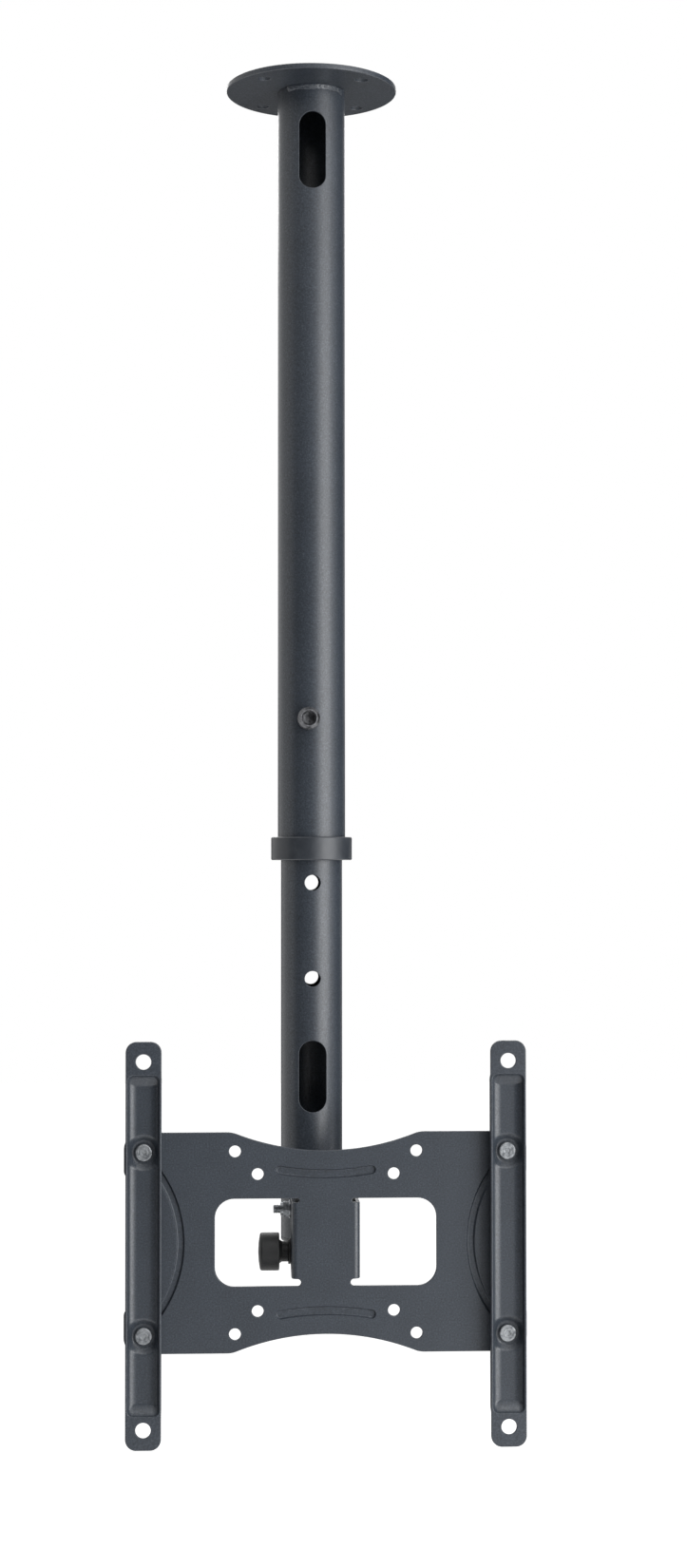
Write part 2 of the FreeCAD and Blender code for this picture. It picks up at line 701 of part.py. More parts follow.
def make_vesa_plate():
    plate = plate_blank()
    for hollow, ridge in pressed_features():
        plate = plate.fuse(ridge).cut(hollow)
    for side in (-1, 1):
        plate = plate.cut(window_half(side))
    for side in (-1, 1):
        plate = plate.fuse(ear_leaf(side))
    for size in (pattern_small, pattern_medium):
        for x, z in pattern_places(size, size):
            plate = plate.cut(disc(plate_hole_diameter / 2, sheet, point(x, plate_front, z), back))
    for x, z in pattern_places(pattern_large, pattern_medium):
        plate = plate.cut(disc(rivet_diameter / 2, sheet, point(x, plate_front, z), back))
    pin_radius = hinge_bolt_diameter / 2 + thread_gap
    start = point(left_ear_face, hinge_y, hinge_z)
    plate = plate.cut(disc(pin_radius, 2 * ear_outer, start, right))
    cone = (hinge_head_diameter - hinge_bolt_diameter) / 2
    mouth = Part.makeCone(pin_radius, hinge_head_diameter / 2 + thread_gap, cone,
                          point(right_ear_face - cone, hinge_y, hinge_z), right)
    return plate.cut(mouth).cut(lock_slot()).removeSplitter()


def dimple_cone(x, z, widening, shift):
    """The cone of a dimple's hollow, or of its back when it is widened and shifted by the sheet."""
    lean = (dimple_mouth_diameter - dimple_floor_diameter) / 2 / arm_floor_stand
    mouth = dimple_mouth_diameter / 2 + widening + lean * arm_floor_round
    floor = dimple_floor_diameter / 2 + widening
    start = point(x, floor_front + shift - arm_floor_round, z)
    return Part.makeCone(mouth, floor, arm_floor_stand + arm_floor_round, start, back)


def make_arm(side):
    """A pressed channel with raised flat tabs at its ends and a dimple round each rivet."""
    x = plate_x + side * pattern_large / 2
    half_width = arm_width / 2
    tab = pillow(half_width, arm_half_length, arm_corner_round, x, plate_z, tab_front, tab_front + arm_sheet)
    channel = pillow(half_width, arm_trough_half_length + arm_wall, arm_trough_corner + arm_wall,
                     x, plate_z, tab_front, floor_back)
    wrap = pillow(half_width, arm_trough_half_length, arm_trough_corner, x, plate_z, tab_front, plate_front)
    for level in (-1, 1):
        cup = dimple_cone(x, plate_z + level * pattern_medium / 2, arm_sheet / 2, arm_sheet)
        channel = channel.fuse(cup.common(wrap))
    body = tab.fuse(channel)
    trough = pillow(half_width - arm_wall, arm_trough_half_length, arm_trough_corner,
                    x, plate_z, tab_front, floor_front)
    trough = trough.makeFillet(arm_floor_round, edges_in_plane_y(trough, floor_front))
    room = pillow(half_width - arm_wall, arm_trough_half_length, arm_trough_corner,
                  x, plate_z, tab_front, plate_front)
    for level in (-1, 1):
        cup = dimple_cone(x, plate_z + level * pattern_medium / 2, 0, 0)
        trough = trough.fuse(cup.common(room))
    body = body.cut(trough)
    for level in (-1, 1):
        rivet_z = plate_z + level * pattern_medium / 2
        body = body.cut(disc(rivet_diameter / 2, arm_sheet, point(x, plate_front - arm_sheet, rivet_z), back))
        hole_z = plate_z + level * pattern_large / 2
        body = body.cut(disc(arm_hole_diameter / 2, arm_sheet, point(x, tab_front, hole_z), back))
    rims = [e for e in edges_in_plane_y(body, tab_front) if len(e.Vertexes) == 2]
    return body.makeFillet(arm_rim_round, rims)


def make_rivet(x, z):
    """One rivet: a dished flat head in the dimple and a formed tail behind the plate."""
    seat = plate_front - arm_sheet
    head = disc(rivet_head_diameter / 2, rivet_head_height, point(x, seat - rivet_head_height, z), back)
    head = head.makeFillet(rivet_head_round, edges_in_plane_y(head, seat - rivet_head_height))
    dish = Part.makeCone(rivet_dish_diameter / 2, rivet_dish_floor / 2, rivet_dish_depth,
                         point(x, seat - rivet_head_height, z), back)
    shank = disc(rivet_diameter / 2, arm_sheet + sheet, point(x, seat, z), back)
    tail = disc(rivet_tail_diameter / 2, rivet_tail_height, point(x, plate_back, z), back)
    return head.cut(dish).fuse(shank).fuse(tail)


def make_arm_rivets():
    places = pattern_places(pattern_large, pattern_medium)
    return Part.makeCompound([make_rivet(x, z) for x, z in places])


def main():
    inner_tube = make_inner_tube()
    tilt_yoke = make_tilt_yoke()
    nodes = {
        "ceiling_plate": make_ceiling_plate(),
        "ceiling_weld": make_ceiling_weld(),
        "outer_tube": make_outer_tube(),
        "collar_ring": make_collar_ring(),
        "screw_boss": make_screw_boss(),
        "clamp_screw": make_clamp_screw(),
        "guide_ring": make_guide_ring(),
        "inner_tube": inner_tube,
        "tube_end_cap": make_tube_end_cap(),
        "tilt_yoke": tilt_yoke,
        "yoke_weld": make_yoke_weld(inner_tube, tilt_yoke),
        "hinge_bolt": make_hinge_bolt(),
        "hinge_washer": make_hinge_washer(),
        "hinge_nut": make_hinge_nut(),
        "hinge_nut_insert": make_hinge_nut_insert(),
        "pivot_washer_left": make_pivot_washer(-1),
        "pivot_washer_right": make_pivot_washer(1),
        "lock_nut": make_lock_nut(),
        "knob_grip": make_knob_grip(),
        "knob_stud": make_knob_stud(),
        "knob_washer": make_knob_washer(),
        "vesa_plate": make_vesa_plate(),
        "arm_left": make_arm(-1),
        "arm_right": make_arm(1),
        "arm_rivets": make_arm_rivets(),
    }
    os.makedirs("parts", exist_ok=True)
    for name, shape in nodes.items():
        shape.exportStep("parts/" + name + ".step")
        print(name, len(shape.Solids), round(shape.Volume, 1), shape.isValid())


main()
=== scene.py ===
import json
import bmesh
import bpy
import numpy
from math import asin, atan, atan2, ceil, cos, degrees, hypot, pi, radians, sin, sqrt, tan
from mathutils import Matrix, Vector
from mathutils.geometry import delaunay_2d_cdt


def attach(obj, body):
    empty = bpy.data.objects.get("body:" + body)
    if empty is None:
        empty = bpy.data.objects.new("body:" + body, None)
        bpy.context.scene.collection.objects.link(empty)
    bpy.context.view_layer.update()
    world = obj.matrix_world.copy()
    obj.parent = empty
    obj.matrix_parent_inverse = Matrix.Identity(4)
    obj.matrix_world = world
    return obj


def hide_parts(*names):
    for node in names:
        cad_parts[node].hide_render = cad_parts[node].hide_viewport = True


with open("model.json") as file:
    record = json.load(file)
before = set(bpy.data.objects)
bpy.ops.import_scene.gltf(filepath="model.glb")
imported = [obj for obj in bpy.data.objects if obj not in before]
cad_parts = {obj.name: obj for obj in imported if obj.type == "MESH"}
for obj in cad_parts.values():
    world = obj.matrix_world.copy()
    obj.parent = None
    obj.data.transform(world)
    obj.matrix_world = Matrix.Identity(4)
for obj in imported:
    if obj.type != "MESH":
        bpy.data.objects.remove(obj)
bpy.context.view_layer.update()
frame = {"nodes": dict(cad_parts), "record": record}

millimetre = 0.001


def toLinear(hexColour):
    channels = [int(hexColour[i:i + 2], 16) / 255 for i in (1, 3, 5)]
    return [c / 12.92 if c <= 0.04045 else ((c + 0.055) / 1.055) ** 2.4 for c in channels] + [1.0]


# Adds a node with its settings, values and links; a node among the inputs stands for its first output
def addNode(tree, kind, inputs=None, **settings):
    node = tree.nodes.new(kind)
    for name, value in settings.items():
        setattr(node, name, value)
    for socket, value in (inputs or {}).items():
        if isinstance(value, bpy.types.Node):
            value = value.outputs[0]
        if isinstance(value, bpy.types.NodeSocket):
            tree.links.new(value, node.inputs[socket])
        else:
            node.inputs[socket].default_value = value
    return node


def newMaterial(name):
    material = bpy.data.materials.new(name)
    material.use_nodes = True
    material.node_tree.nodes.clear()
    return material, material.node_tree


def newObject(name, data):
    thing = bpy.data.objects.new(name, data)
    bpy.context.scene.collection.objects.link(thing)
    return thing


# Fine-textured polyester powder coat, baked on steel: pinhead grains break the highlights up,
# a slow orange-peel wave bends them, and wide clouds change the film's depth. The real grain is about half
# as large, drawn coarser so that it shows.
powderCoat = {
    "name": "texturedPowderCoat", "colour": "#353b43", "metallic": 0.0, "ior": 1.52,
    "noises": {"grain": (0.9, 2.0, 0.65), "wave": (3.2, 1.0, 0.5), "cloud": (26.0, 2.0, 0.5)},
    "tints": [("grain", 0.5, 0.3, "#272b31"), ("grain", 0.54, 0.76, "#4b5057")],
    "gloss": ("grain", 0.42, 0.32), "bumps": [("wave", 0.012, 0.6), ("grain", 0.034, 0.9)],
    "clouds": ("cloud", 0.92, 1.08),
}
# Zinc plate over stamped steel: a soft grey mirror, clouded by handling, with the plating's fine grain.
zincPlate = {
    "name": "zincPlatedSteel", "colour": "#9a9da0", "metallic": 1.0, "ior": 1.5,
    "noises": {"patch": (1.8, 3.0, 0.5), "grain": (0.35, 3.0, 0.6)}, "gloss": ("patch", 0.4, 0.52),
    "tints": [("patch", 0.4, 0.7, "#63666a")], "bumps": [("grain", 0.006, 0.7)],
}
# Black oxide on a turned screw: dark grey steel with an oily satin shine and paler worn spots.
blackOxide = {
    "name": "blackOxideSteel", "colour": "#505154", "metallic": 0.7, "ior": 1.5,
    "noises": {"patch": (1.6, 3.0, 0.5), "grain": (0.4, 3.0, 0.6)}, "gloss": ("patch", 0.28, 0.44),
    "tints": [("patch", 0.4, 0.7, "#737477")], "bumps": [("grain", 0.012, 0.7)],
}
# Moulded glass-filled nylon: near black, satin, with the mould's spark-eroded texture.
knobNylon = {
    "name": "mouldedBlackNylon", "colour": "#101112", "metallic": 0.0, "ior": 1.4,
    "noises": {"patch": (5.0, 3.0, 0.5), "grain": (0.45, 3.0, 0.6)}, "gloss": ("patch", 0.5, 0.62),
    "tints": [("patch", 0.4, 0.7, "#18191a")], "bumps": [("grain", 0.03, 0.7)],
}
# Moulded polypropylene: matt charcoal with a faint flow pattern.
collarPolymer = {
    "name": "mouldedGreyPolypropylene", "colour": "#30343a", "metallic": 0.0, "ior": 1.5,
    "noises": {"patch": (7.0, 3.0, 0.5), "grain": (0.5, 3.0, 0.6)}, "gloss": ("patch", 0.35, 0.43),
    "tints": [("patch", 0.4, 0.7, "#373b41")], "bumps": [("grain", 0.015, 0.7)],
}
# Natural nylon of the nut's locking ring: milky and waxy.
nutNylon = {
    "name": "naturalNylon", "colour": "#cdd2d4", "metallic": 0.0, "ior": 1.53,
    "noises": {"patch": (1.2, 3.0, 0.5), "grain": (0.3, 3.0, 0.6)}, "gloss": ("patch", 0.34, 0.46),
    "tints": [("patch", 0.4, 0.7, "#b4bcc0")], "bumps": [("grain", 0.01, 0.7)],
}


# Noises are size in mm, detail and roughness. Each tint comes in where its noise goes from the first number
# to the second, gloss and clouds follow a noise between two roughnesses or two brightnesses, and bumps are
# depth in mm and strength.
def makeFinish(values):
    material, tree = newMaterial(values["name"])
    place = addNode(tree, "ShaderNodeTexCoord").outputs["Object"]
    noise = {}
    for label, (size, detail, rough) in values["noises"].items():
        noise[label] = addNode(tree, "ShaderNodeTexNoise", {
            "Vector": place, "Scale": 1 / (size * millimetre), "Detail": detail, "Roughness": rough})
    colour = toLinear(values["colour"])
    for label, low, high, tint in values["tints"]:
        share = addNode(tree, "ShaderNodeMapRange", {
            "Value": noise[label], "From Min": low, "From Max": high})
        mix = addNode(tree, "ShaderNodeMix", {
            "Factor": share, 6: colour, 7: toLinear(tint)}, data_type="RGBA")
        colour = mix.outputs[2]
    follow = {}
    for effect in ("gloss", "clouds"):
        if effect in values:
            label, low, high = values[effect]
            follow[effect] = addNode(tree, "ShaderNodeMapRange", {
                "Value": noise[label], "From Min": 0.3, "From Max": 0.7, "To Min": low, "To Max": high})
    if "clouds" in follow:
        colour = addNode(tree, "ShaderNodeHueSaturation", {"Color": colour, "Value": follow["clouds"]})
    relief = {}
    for label, depth, strength in values["bumps"]:
        relief = {"Normal": addNode(tree, "ShaderNodeBump", {
            "Height": noise[label], "Distance": depth * millimetre, "Strength": strength, **relief})}
    shader = addNode(tree, "ShaderNodeBsdfPrincipled", {
        "Base Color": colour, "Roughness": follow["gloss"],
        "Metallic": values["metallic"], "IOR": values["ior"], **relief})
    addNode(tree, "ShaderNodeOutputMaterial", {"Surface": shader})
    return material


print("materials")
slots = {
    "powder_coat": makeFinish(powderCoat),
    "collar_plastic": makeFinish(collarPolymer),
    "black_plastic": makeFinish(knobNylon),
    "black_steel": makeFinish(blackOxide),
    "zinc_steel": makeFinish(zincPlate),
    "nut_nylon": makeFinish(nutNylon),
}
nodeSlot = {s["node"]: s["material_slot"] for s in frame["record"]["subparts"]}
nodeBody = {n: b for b, nodes in frame["record"]["behaviour"]["bodies"].items() for n in nodes}
for node, cadObject in frame["nodes"].items():
    cadObject.data.materials.clear()
    cadObject.data.materials.append(slots[nodeSlot[node]])


def smoothStep(x):
    x = max(0.0, min(1.0, x))
    return x * x * (3 - 2 * x)


def smoothSlope(x):
    return 6 * x * (1 - x) if 0 < x < 1 else 0.0


# A loop is a closed counter-clockwise outline: places in mm, each with the direction that points out of it.
def arcLoop(centre, radius, start, end, outward=1, step=6):
    count = max(2, ceil(abs(end - start) / step - 0.01))
    loop = []
    for k in range(count + 1):
        angle = radians(start + (end - start) * k / count)
        way = Vector((cos(angle), sin(angle)))
        loop.append((Vector(centre) + way * radius, way * outward))
    return loop


def roundedLoop(corners, step=9):
    loop = []
    for i, (u, w, radius) in enumerate(corners):
        here = Vector((u, w))
        toBefore = (Vector(corners[i - 1][:2]) - here).normalized()
        toAfter = (Vector(corners[(i + 1) % len(corners)][:2]) - here).normalized()
        half = toBefore.angle(toAfter) / 2
        inward = (toBefore + toAfter).normalized() / sin(half)
        first, last = toBefore / tan(half) - inward, toAfter / tan(half) - inward
        start = degrees(atan2(first.y, first.x))
        turn = (degrees(atan2(last.y, last.x)) - start + 180) % 360 - 180
        loop += arcLoop(here + inward * radius, radius, start, start + turn, 1 if turn > 0 else -1, step)
    return loop


def circleLoop(centre, radius, step=9):
    return arcLoop(centre, radius, 0, 360, 1, step)[:-1]


# The spine of a curved band; a ring's offset from it gives the band's half width.
def bandLoop(centre, radius, middle, half):
    loop = arcLoop(centre, radius, middle - half, middle + half, 1, 1.5)
    for end, turn, way in ((middle + half, 0, -1), (middle - half, 180, 1)):
        tip = Vector(centre) + Vector((cos(radians(end)), sin(radians(end)))) * radius
        loop += arcLoop(tip, 0, end + turn, end + turn + 180, 1, 12)[1:-1]
        if way < 0:
            loop += arcLoop(centre, radius, middle + half, middle - half, -1, 1.5)
    return loop


# Profiles run from the front face to the back one: offset, depth, and the two parts of the facing direction.
# A rim of plus one is the sheet's outer edge, minus one is a hole's edge.
def edgeProfile(thickness, edgeRound, rim, steps=4):
    front = []
    for k in range(steps + 1):
        angle = radians(90 * k / steps)
        front.append((-rim * edgeRound * (1 - sin(angle)), edgeRound * (1 - cos(angle)),
                      rim * sin(angle), -cos(angle)))
    return front + [(o, thickness - t, a, -b) for o, t, a, b in reversed(front)]


# A pressed wall from half width wide to narrow, depth deep, steep at its mouth and easy at its floor;
# face is -1 in front, +1 behind
def pressProfile(wide, narrow, start, depth, face, steps=12, ease=1.7):
    profile = []
    for k in range(steps + 1):
        share = 1 - (1 - k / steps) ** ease
        slope = depth * smoothSlope(share) * ease * (1 - k / steps) ** (ease - 1) / (narrow - wide)
        facing = Vector((-face * slope, face)).normalized()
        profile.append((wide + (narrow - wide) * k / steps, start + depth * smoothStep(share), *facing))
    return profile


# Places and facings on the flat work are across, deep and up
def plain(u, t, w, a, b, c):
    return (u, t, w), (a, b, c)


def joinRings(bm, rings):
    for near, far in zip(rings, rings[1:]):
        for i in range(len(near)):
            bm.faces.new((near[i - 1], near[i], far[i], far[i - 1]))


# Adds one closed wall, and returns the edges of its two ends
def addRings(bm, loop, profile, project=plain):
    facing = bm.verts.layers.float_vector["facing"]
    rings = []
    for offset, depth, side, face in profile:
        ring = []
        spots = loop(offset) if callable(loop) else [(place + way * offset, way) for place, way in loop]
        for spot, way in spots:
            where, looks = project(spot.x, depth, spot.y, way.x * side, face, way.y * side)
            vert = bm.verts.new(where)
            vert[facing] = looks
            ring.append(vert)
        rings.append(ring)
    joinRings(bm, rings)
    return [[bm.edges.get((ring[i - 1], ring[i])) for i in range(len(ring))]
            for ring in (rings[0], rings[-1])]


# Adds a wall through the sheet, whose ends lie on its two sides
def addWall(bm, sides, loop, profile, project=plain):
    for edges, ring in zip(sides, addRings(bm, loop, profile, project)):
        edges.extend(ring)


# Fills a flat field between loops: every triangle whose middle has an odd number of loops round it
def fillFlat(bm, edges):
    verts = list(dict.fromkeys(vert for edge in edges for vert in edge.verts))
    index = {vert: i for i, vert in enumerate(verts)}
    places = [Vector((vert.co.x, vert.co.z)) for vert in verts]
    pairs = [(index[edge.verts[0]], index[edge.verts[1]]) for edge in edges]
    spots, _, triangles, origins, _, _ = delaunay_2d_cdt(places, pairs, [], 0, 1e-6)
    ends = numpy.array([[*places[a], *places[b]] for a, b in pairs])
    x0, z0, x1, z1 = ends.T
    for triangle in triangles:
        x, z = sum((spots[i] for i in triangle), Vector((0, 0))) / 3
        crossed = (z0 > z) != (z1 > z)
        reach = x0[crossed] + (z - z0[crossed]) * (x1 - x0)[crossed] / (z1 - z0)[crossed]
        if numpy.count_nonzero(reach > x) % 2:
            bm.faces.new([verts[origins[i][0]] for i in triangle])


def cutAt(bm, places, way):
    for place in places:
        bmesh.ops.bisect_plane(bm, geom=bm.verts[:] + bm.edges[:] + bm.faces[:], dist=1e-5,
                               plane_co=Vector(way) * place, plane_no=way)


def newSheet():
    bm = bmesh.new()
    bm.verts.layers.float_vector.new("facing")
    return bm


# Makes the mesh of a closed piece from corners that carry their own facing directions
def facedMesh(bm, name):
    bmesh.ops.recalc_face_normals(bm, faces=bm.faces)
    if bm.calc_volume(signed=True) < 0:
        bmesh.ops.reverse_faces(bm, faces=bm.faces)
    for face in bm.faces:
        face.smooth = True
    facing = bm.verts.layers.float_vector["facing"]
    looks = [vert[facing].copy() for vert in bm.verts]
    mesh = bpy.data.meshes.new(name)
    bm.to_mesh(mesh)
    bm.free()
    mesh.attributes.remove(mesh.attributes["facing"])
    mesh.normals_split_custom_set_from_vertices(looks)
    return mesh


# A piece takes its body and its finish from a CAD node, which it stands for unless it only adds to it
def registerPiece(name, mesh, node, standsFor=True):
    if not mesh.materials:
        mesh.materials.append(slots[nodeSlot[node]])
    piece = newObject(name, mesh)
    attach(piece, nodeBody[node])
    if standsFor:
        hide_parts(node)
    print(name, len(mesh.polygons), "faces")


# Bends the flat work to its place
def finishSheet(bm, name, shape, node):
    facing = bm.verts.layers.float_vector["facing"]
    for vert in bm.verts:
        where, looks = shape(*vert.co, *vert[facing])
        vert.co = Vector(where) * millimetre
        vert[facing] = Vector(looks).normalized()
    bmesh.ops.remove_doubles(bm, verts=bm.verts, dist=2e-6)
    bmesh.ops.triangulate(bm, faces=[f for f in bm.faces if len(f.verts) > 4])
    registerPiece(name, facedMesh(bm, name), node)


# A solid of revolution about an axis from a closed loop of (radius, height)
def turnedMesh(name, loop, origin, axis, count):
    axis = Vector(axis)
    first = axis.orthogonal().normalized()
    second = axis.cross(first)
    bm = newSheet()
    facing = bm.verts.layers.float_vector["facing"]
    rings = []
    for k in range(count):
        angle = 2 * pi * k / count
        way = first * cos(angle) + second * sin(angle)
        ring = []
        for place, normal in loop:
            ring.append(bm.verts.new((Vector(origin) + way * max(place.x, 0) + axis * place.y) * millimetre))
            ring[-1][facing] = way * normal.x + axis * normal.y
        rings.append(ring)
    joinRings(bm, rings + rings[:1])
    bmesh.ops.remove_doubles(bm, verts=bm.verts, dist=1e-7)
    return facedMesh(bm, name)


print("screen plate")
screenPlate = {
    "middle": (6.0, -656.4),        # mm, across and up
    "front": -54.0,
    "thickness": 2.3,
    "edgeRound": 0.5,
    "width": 222.0, "height": 121.0,
    "cornerRound": 9.0,
    "waist": (51.5, 10.2, 15.0),    # half width, depth, rounding of its ends
    "hollow": (35.7, 52.0, 4.0),    # its centre past the plate's end, radius, rounding of its ends
    "window": (15.6, 61.0, 24.0, 10.5),     # web edge, outer edge, half height, corner
    "reliefs": (1.1, 1.9),          # upper, lower
    "bendRadius": 1.0,
    # past the hinge, depth of its foot, corner, height where it tapers, its foot's corner
    "ear": (10.0, 4.0, 4.0, -10.5, 1.5),
    "hinge": (-36.0, -640.4),
    "pinHole": 2.58,
    "lockSlot": (23.5, 3.35, -5.0, 15.0),
    # half distances across and up, and radius: the screen's two squares, and the rivets
    "holes": ((37.5, 37.5, 3.25), (50.0, 50.0, 3.25), (100.0, 50.0, 2.5)),
    "holeRound": 0.35,
    "pressDepth": 1.4,
    "pressWalls": (0.15, -1.15, 1.3, 0.5),  # past a band's half width: mouth and floor in front, and behind
    "ribs": (150.0, 2.5, 9.63, 37.5),       # radius, half width, half angle, height of its middle
    "grooves": (66.8, 2.2, 36.0),
}


def plateOutline():
    values = screenPlate
    halfWidth, halfHeight = values["width"] / 2, values["height"] / 2
    corner = values["cornerRound"]
    outside, hollowRadius, lobe = values["hollow"]
    lobeUp = sqrt((hollowRadius + lobe) ** 2 - (outside + lobe) ** 2)
    tip = degrees(atan2(lobeUp, outside + lobe))
    waistHalf, waistDepth, kink = values["waist"]
    waistRadius = (waistHalf ** 2 + waistDepth ** 2) / (2 * waistDepth)
    waistUp = halfHeight - waistDepth + waistRadius
    rise = waistUp - halfHeight + kink
    kinkSide = sqrt((waistRadius + kink) ** 2 - rise ** 2)
    lean = degrees(atan2(kinkSide, rise))
    quarter = arcLoop((halfWidth + outside, 0), hollowRadius, 180, 180 - tip, -1, 2)
    quarter += arcLoop((halfWidth - lobe, lobeUp), lobe, -tip, 0)
    quarter += arcLoop((halfWidth - corner, halfHeight - corner), corner, 0, 90)
    quarter += arcLoop((kinkSide, halfHeight - kink), kink, 90, 90 + lean, 1, 3)
    quarter += arcLoop((0, waistUp), waistRadius, -90 + lean, -90, -1, 1.5)
    half = quarter + [(Vector((-p.x, p.y)), Vector((-n.x, n.y))) for p, n in reversed(quarter[:-1])]
    whole = half[:-1] + [(-p, -n) for p, n in half[:-1]]
    kept = [spot for i, spot in enumerate(whole) if (spot[0] - whole[i - 1][0]).length > 0.01]
    middle = Vector(values["middle"])
    return [(p + middle, n) for p, n in kept]


# The window beside the web while the ear still lies flat in it
def windowLoop(side, bendLength, leafLength):
    values = screenPlate
    web, outer, high, corner = values["window"]
    topRelief, lowRelief = values["reliefs"]
    _, foot, earCorner, taper, footCorner = values["ear"]
    end = web + bendLength + leafLength
    leafTop, leafLow = high - 2 * topRelief, -high + 2 * lowRelief
    corners = [
        (outer, -high, corner), (outer, high, corner),
        (web - topRelief, high, topRelief), (web - topRelief, leafTop, topRelief),
        (end, leafTop, earCorner), (end, taper, earCorner),
        (web + bendLength + foot, leafLow, footCorner),
        (web - lowRelief, leafLow, lowRelief), (web - lowRelief, -high, lowRelief),
    ]
    if side < 0:
        corners = [(-u, w, r) for u, w, r in reversed(corners)]
    middle = values["middle"]
    return roundedLoop([(u + middle[0], w + middle[1], r) for u, w, r in corners])


def makePlate():
    values = screenPlate
    thick, soft = values["thickness"], values["edgeRound"]
    midX, midZ = values["middle"]
    web = values["window"][0]
    outerBend = values["bendRadius"] + thick
    bendLength = pi / 2 * (values["bendRadius"] + thick / 2)
    bendY = values["front"] + outerBend
    hingeY, hingeZ = values["hinge"]
    leafLength = hingeY + values["ear"][0] - bendY
    bm = newSheet()
    sides = front, back = [], []
    smallHole = edgeProfile(thick, values["holeRound"], -1)
    sink = [(2.2, 0, 0, -1), (2.1, 0.05, -0.7, -0.7), (0, 2.1, -0.8, -0.6), (0, thick, -0.4, 0.9)]
    addWall(bm, sides, plateOutline(), edgeProfile(thick, soft, 1))
    for side in (-1, 1):
        addWall(bm, sides, windowLoop(side, bendLength, leafLength), edgeProfile(thick, soft, -1))
        pinU = midX + side * (web + bendLength + hingeY - bendY)
        addWall(bm, sides, circleLoop((pinU, hingeZ), values["pinHole"]), smallHole if side < 0 else sink)
    for across, up, radius in values["holes"]:
        for i, k in ((-1, -1), (-1, 1), (1, -1), (1, 1)):
            addWall(bm, sides, circleLoop((midX + i * across, midZ + k * up), radius), smallHole)
    slotRadius, slotHalf, slotStart, slotEnd = values["lockSlot"]
    pinU = midX - (web + bendLength + hingeY - bendY)
    slot = bandLoop((pinU, hingeZ), slotRadius, (slotStart + slotEnd) / 2 - 90, (slotEnd - slotStart) / 2)
    addWall(bm, sides, slot, [(slotHalf + o, t, a, b) for o, t, a, b in smallHole])
    bands = []
    ribRadius, ribHalf, ribAngle, ribUp = values["ribs"]
    for level in (-1, 1):
        bands.append(((midX, midZ + level * (ribUp + ribRadius)), ribRadius, -90 * level, ribAngle, ribHalf))
    grooveRadius, grooveHalf, grooveAngle = values["grooves"]
    outside = values["width"] / 2 + values["hollow"][0]
    for side, turn in ((-1, 0), (1, 180)):
        bands.append(((midX + side * outside, midZ), grooveRadius, turn, grooveAngle, grooveHalf))
    frontWide, frontNarrow, backWide, backNarrow = values["pressWalls"]
    walls = ((front, frontWide, frontNarrow, 0, -1), (back, backWide, backNarrow, thick, 1))
    for centre, radius, turn, angle, half in bands:
        for edges, wide, narrow, depth, face in walls:
            profile = pressProfile(half + wide, half + narrow, depth, values["pressDepth"], face)
            outer, floor = addRings(bm, bandLoop(centre, radius, turn, angle), profile)
            edges.extend(outer)
            fillFlat(bm, floor)
    for edges in sides:
        fillFlat(bm, edges)
    bends = [midX + side * (web + bendLength * k / 12) for side in (-1, 1) for k in range(13)]
    cutAt(bm, bends, (1, 0, 0))

    def fold(u, t, w, a, b, c):
        side = 1 if u > midX else -1
        along = (u - midX) * side - web
        if along <= 1e-4 or along > bendLength + leafLength + 2 or abs(w - midZ) > values["window"][2] - 0.3:
            return (u, values["front"] + t, w), (a, b, c)
        turn = pi / 2 * min(1, along / bendLength)
        sine, cosine = sin(turn), cos(turn)
        x = side * (web + (outerBend - t) * sine) + midX
        y = bendY - (outerBend - t) * cosine + max(0, along - bendLength)
        return (x, y, w), (a * cosine - side * b * sine, a * side * sine + b * cosine, c)

    finishSheet(bm, "pressedScreenPlate", fold, "vesa_plate")


makePlate()

print("arms")
pressedArm = {
    "middle": (6.0, -656.4),
    "front": -63.3,
    "aside": 100.0,
    "halfWidth": 9.8,
    "halfLength": 111.0,
    "cornerRound": 6.0,
    "edgeRound": 0.55,
    "sheet": 2.0,
    "holeUp": 100.0,
    "holeRadius": 4.2, "holeRound": 0.4,
    "trough": (8.6, 92.5, 3.2),     # half width, half length, corner
    "troughDepth": 4.8,
    "rimRound": 0.5,
    "wallLean": 9.0,                # degrees
    "endLean": (3.6, 84.0),         # how far the trough's end walls lean in, and where that starts
    "floorRound": (5.0, 3.0),       # across and deep
    "backDepth": 6.8,
    "channel": (1.4, 1.9, 5.5, 1.8),    # behind: past the arm's side, past the trough, corner, slope's width
    "dimpleUp": 50.0,
    "dimple": (10.3, 5.9, 2.5),     # mouth radius, floor radius, depth
    "seat": (9.0, 5.2),             # round each rivet the trough's rounding flattens between these radii
    "pinHole": 2.5,
    "cuts": (0.5, 0.42, 0.55),      # between the mesh's cuts round a rivet, at the trough's ends, and across
}


def troughProfile():
    values = pressedArm
    rim, lean = values["rimRound"], radians(values["wallLean"])
    across, deep = values["floorRound"]
    depth = values["troughDepth"]
    profile = []
    for k in range(6):
        angle = (pi / 2 - lean) * k / 5
        sine, cosine = sin(angle), cos(angle)
        profile.append((rim * (1 - sine), rim * (1 - cosine), -sine, -cosine))
    topOffset, topDepth = profile[-1][:2]
    steepest = atan(across / deep / tan(lean))
    lowDepth = depth - deep + deep * cos(steepest)
    lowOffset = topOffset - (lowDepth - topDepth) * tan(lean)
    centre = lowOffset - across * sin(steepest)
    for k in range(13):
        angle = steepest * (1 - k / 12)
        sine, cosine = sin(angle), cos(angle)
        facing = Vector((-sine / across, -cosine / deep)).normalized()
        profile.append((centre + across * sine, depth - deep + deep * cosine, *facing))
    return profile


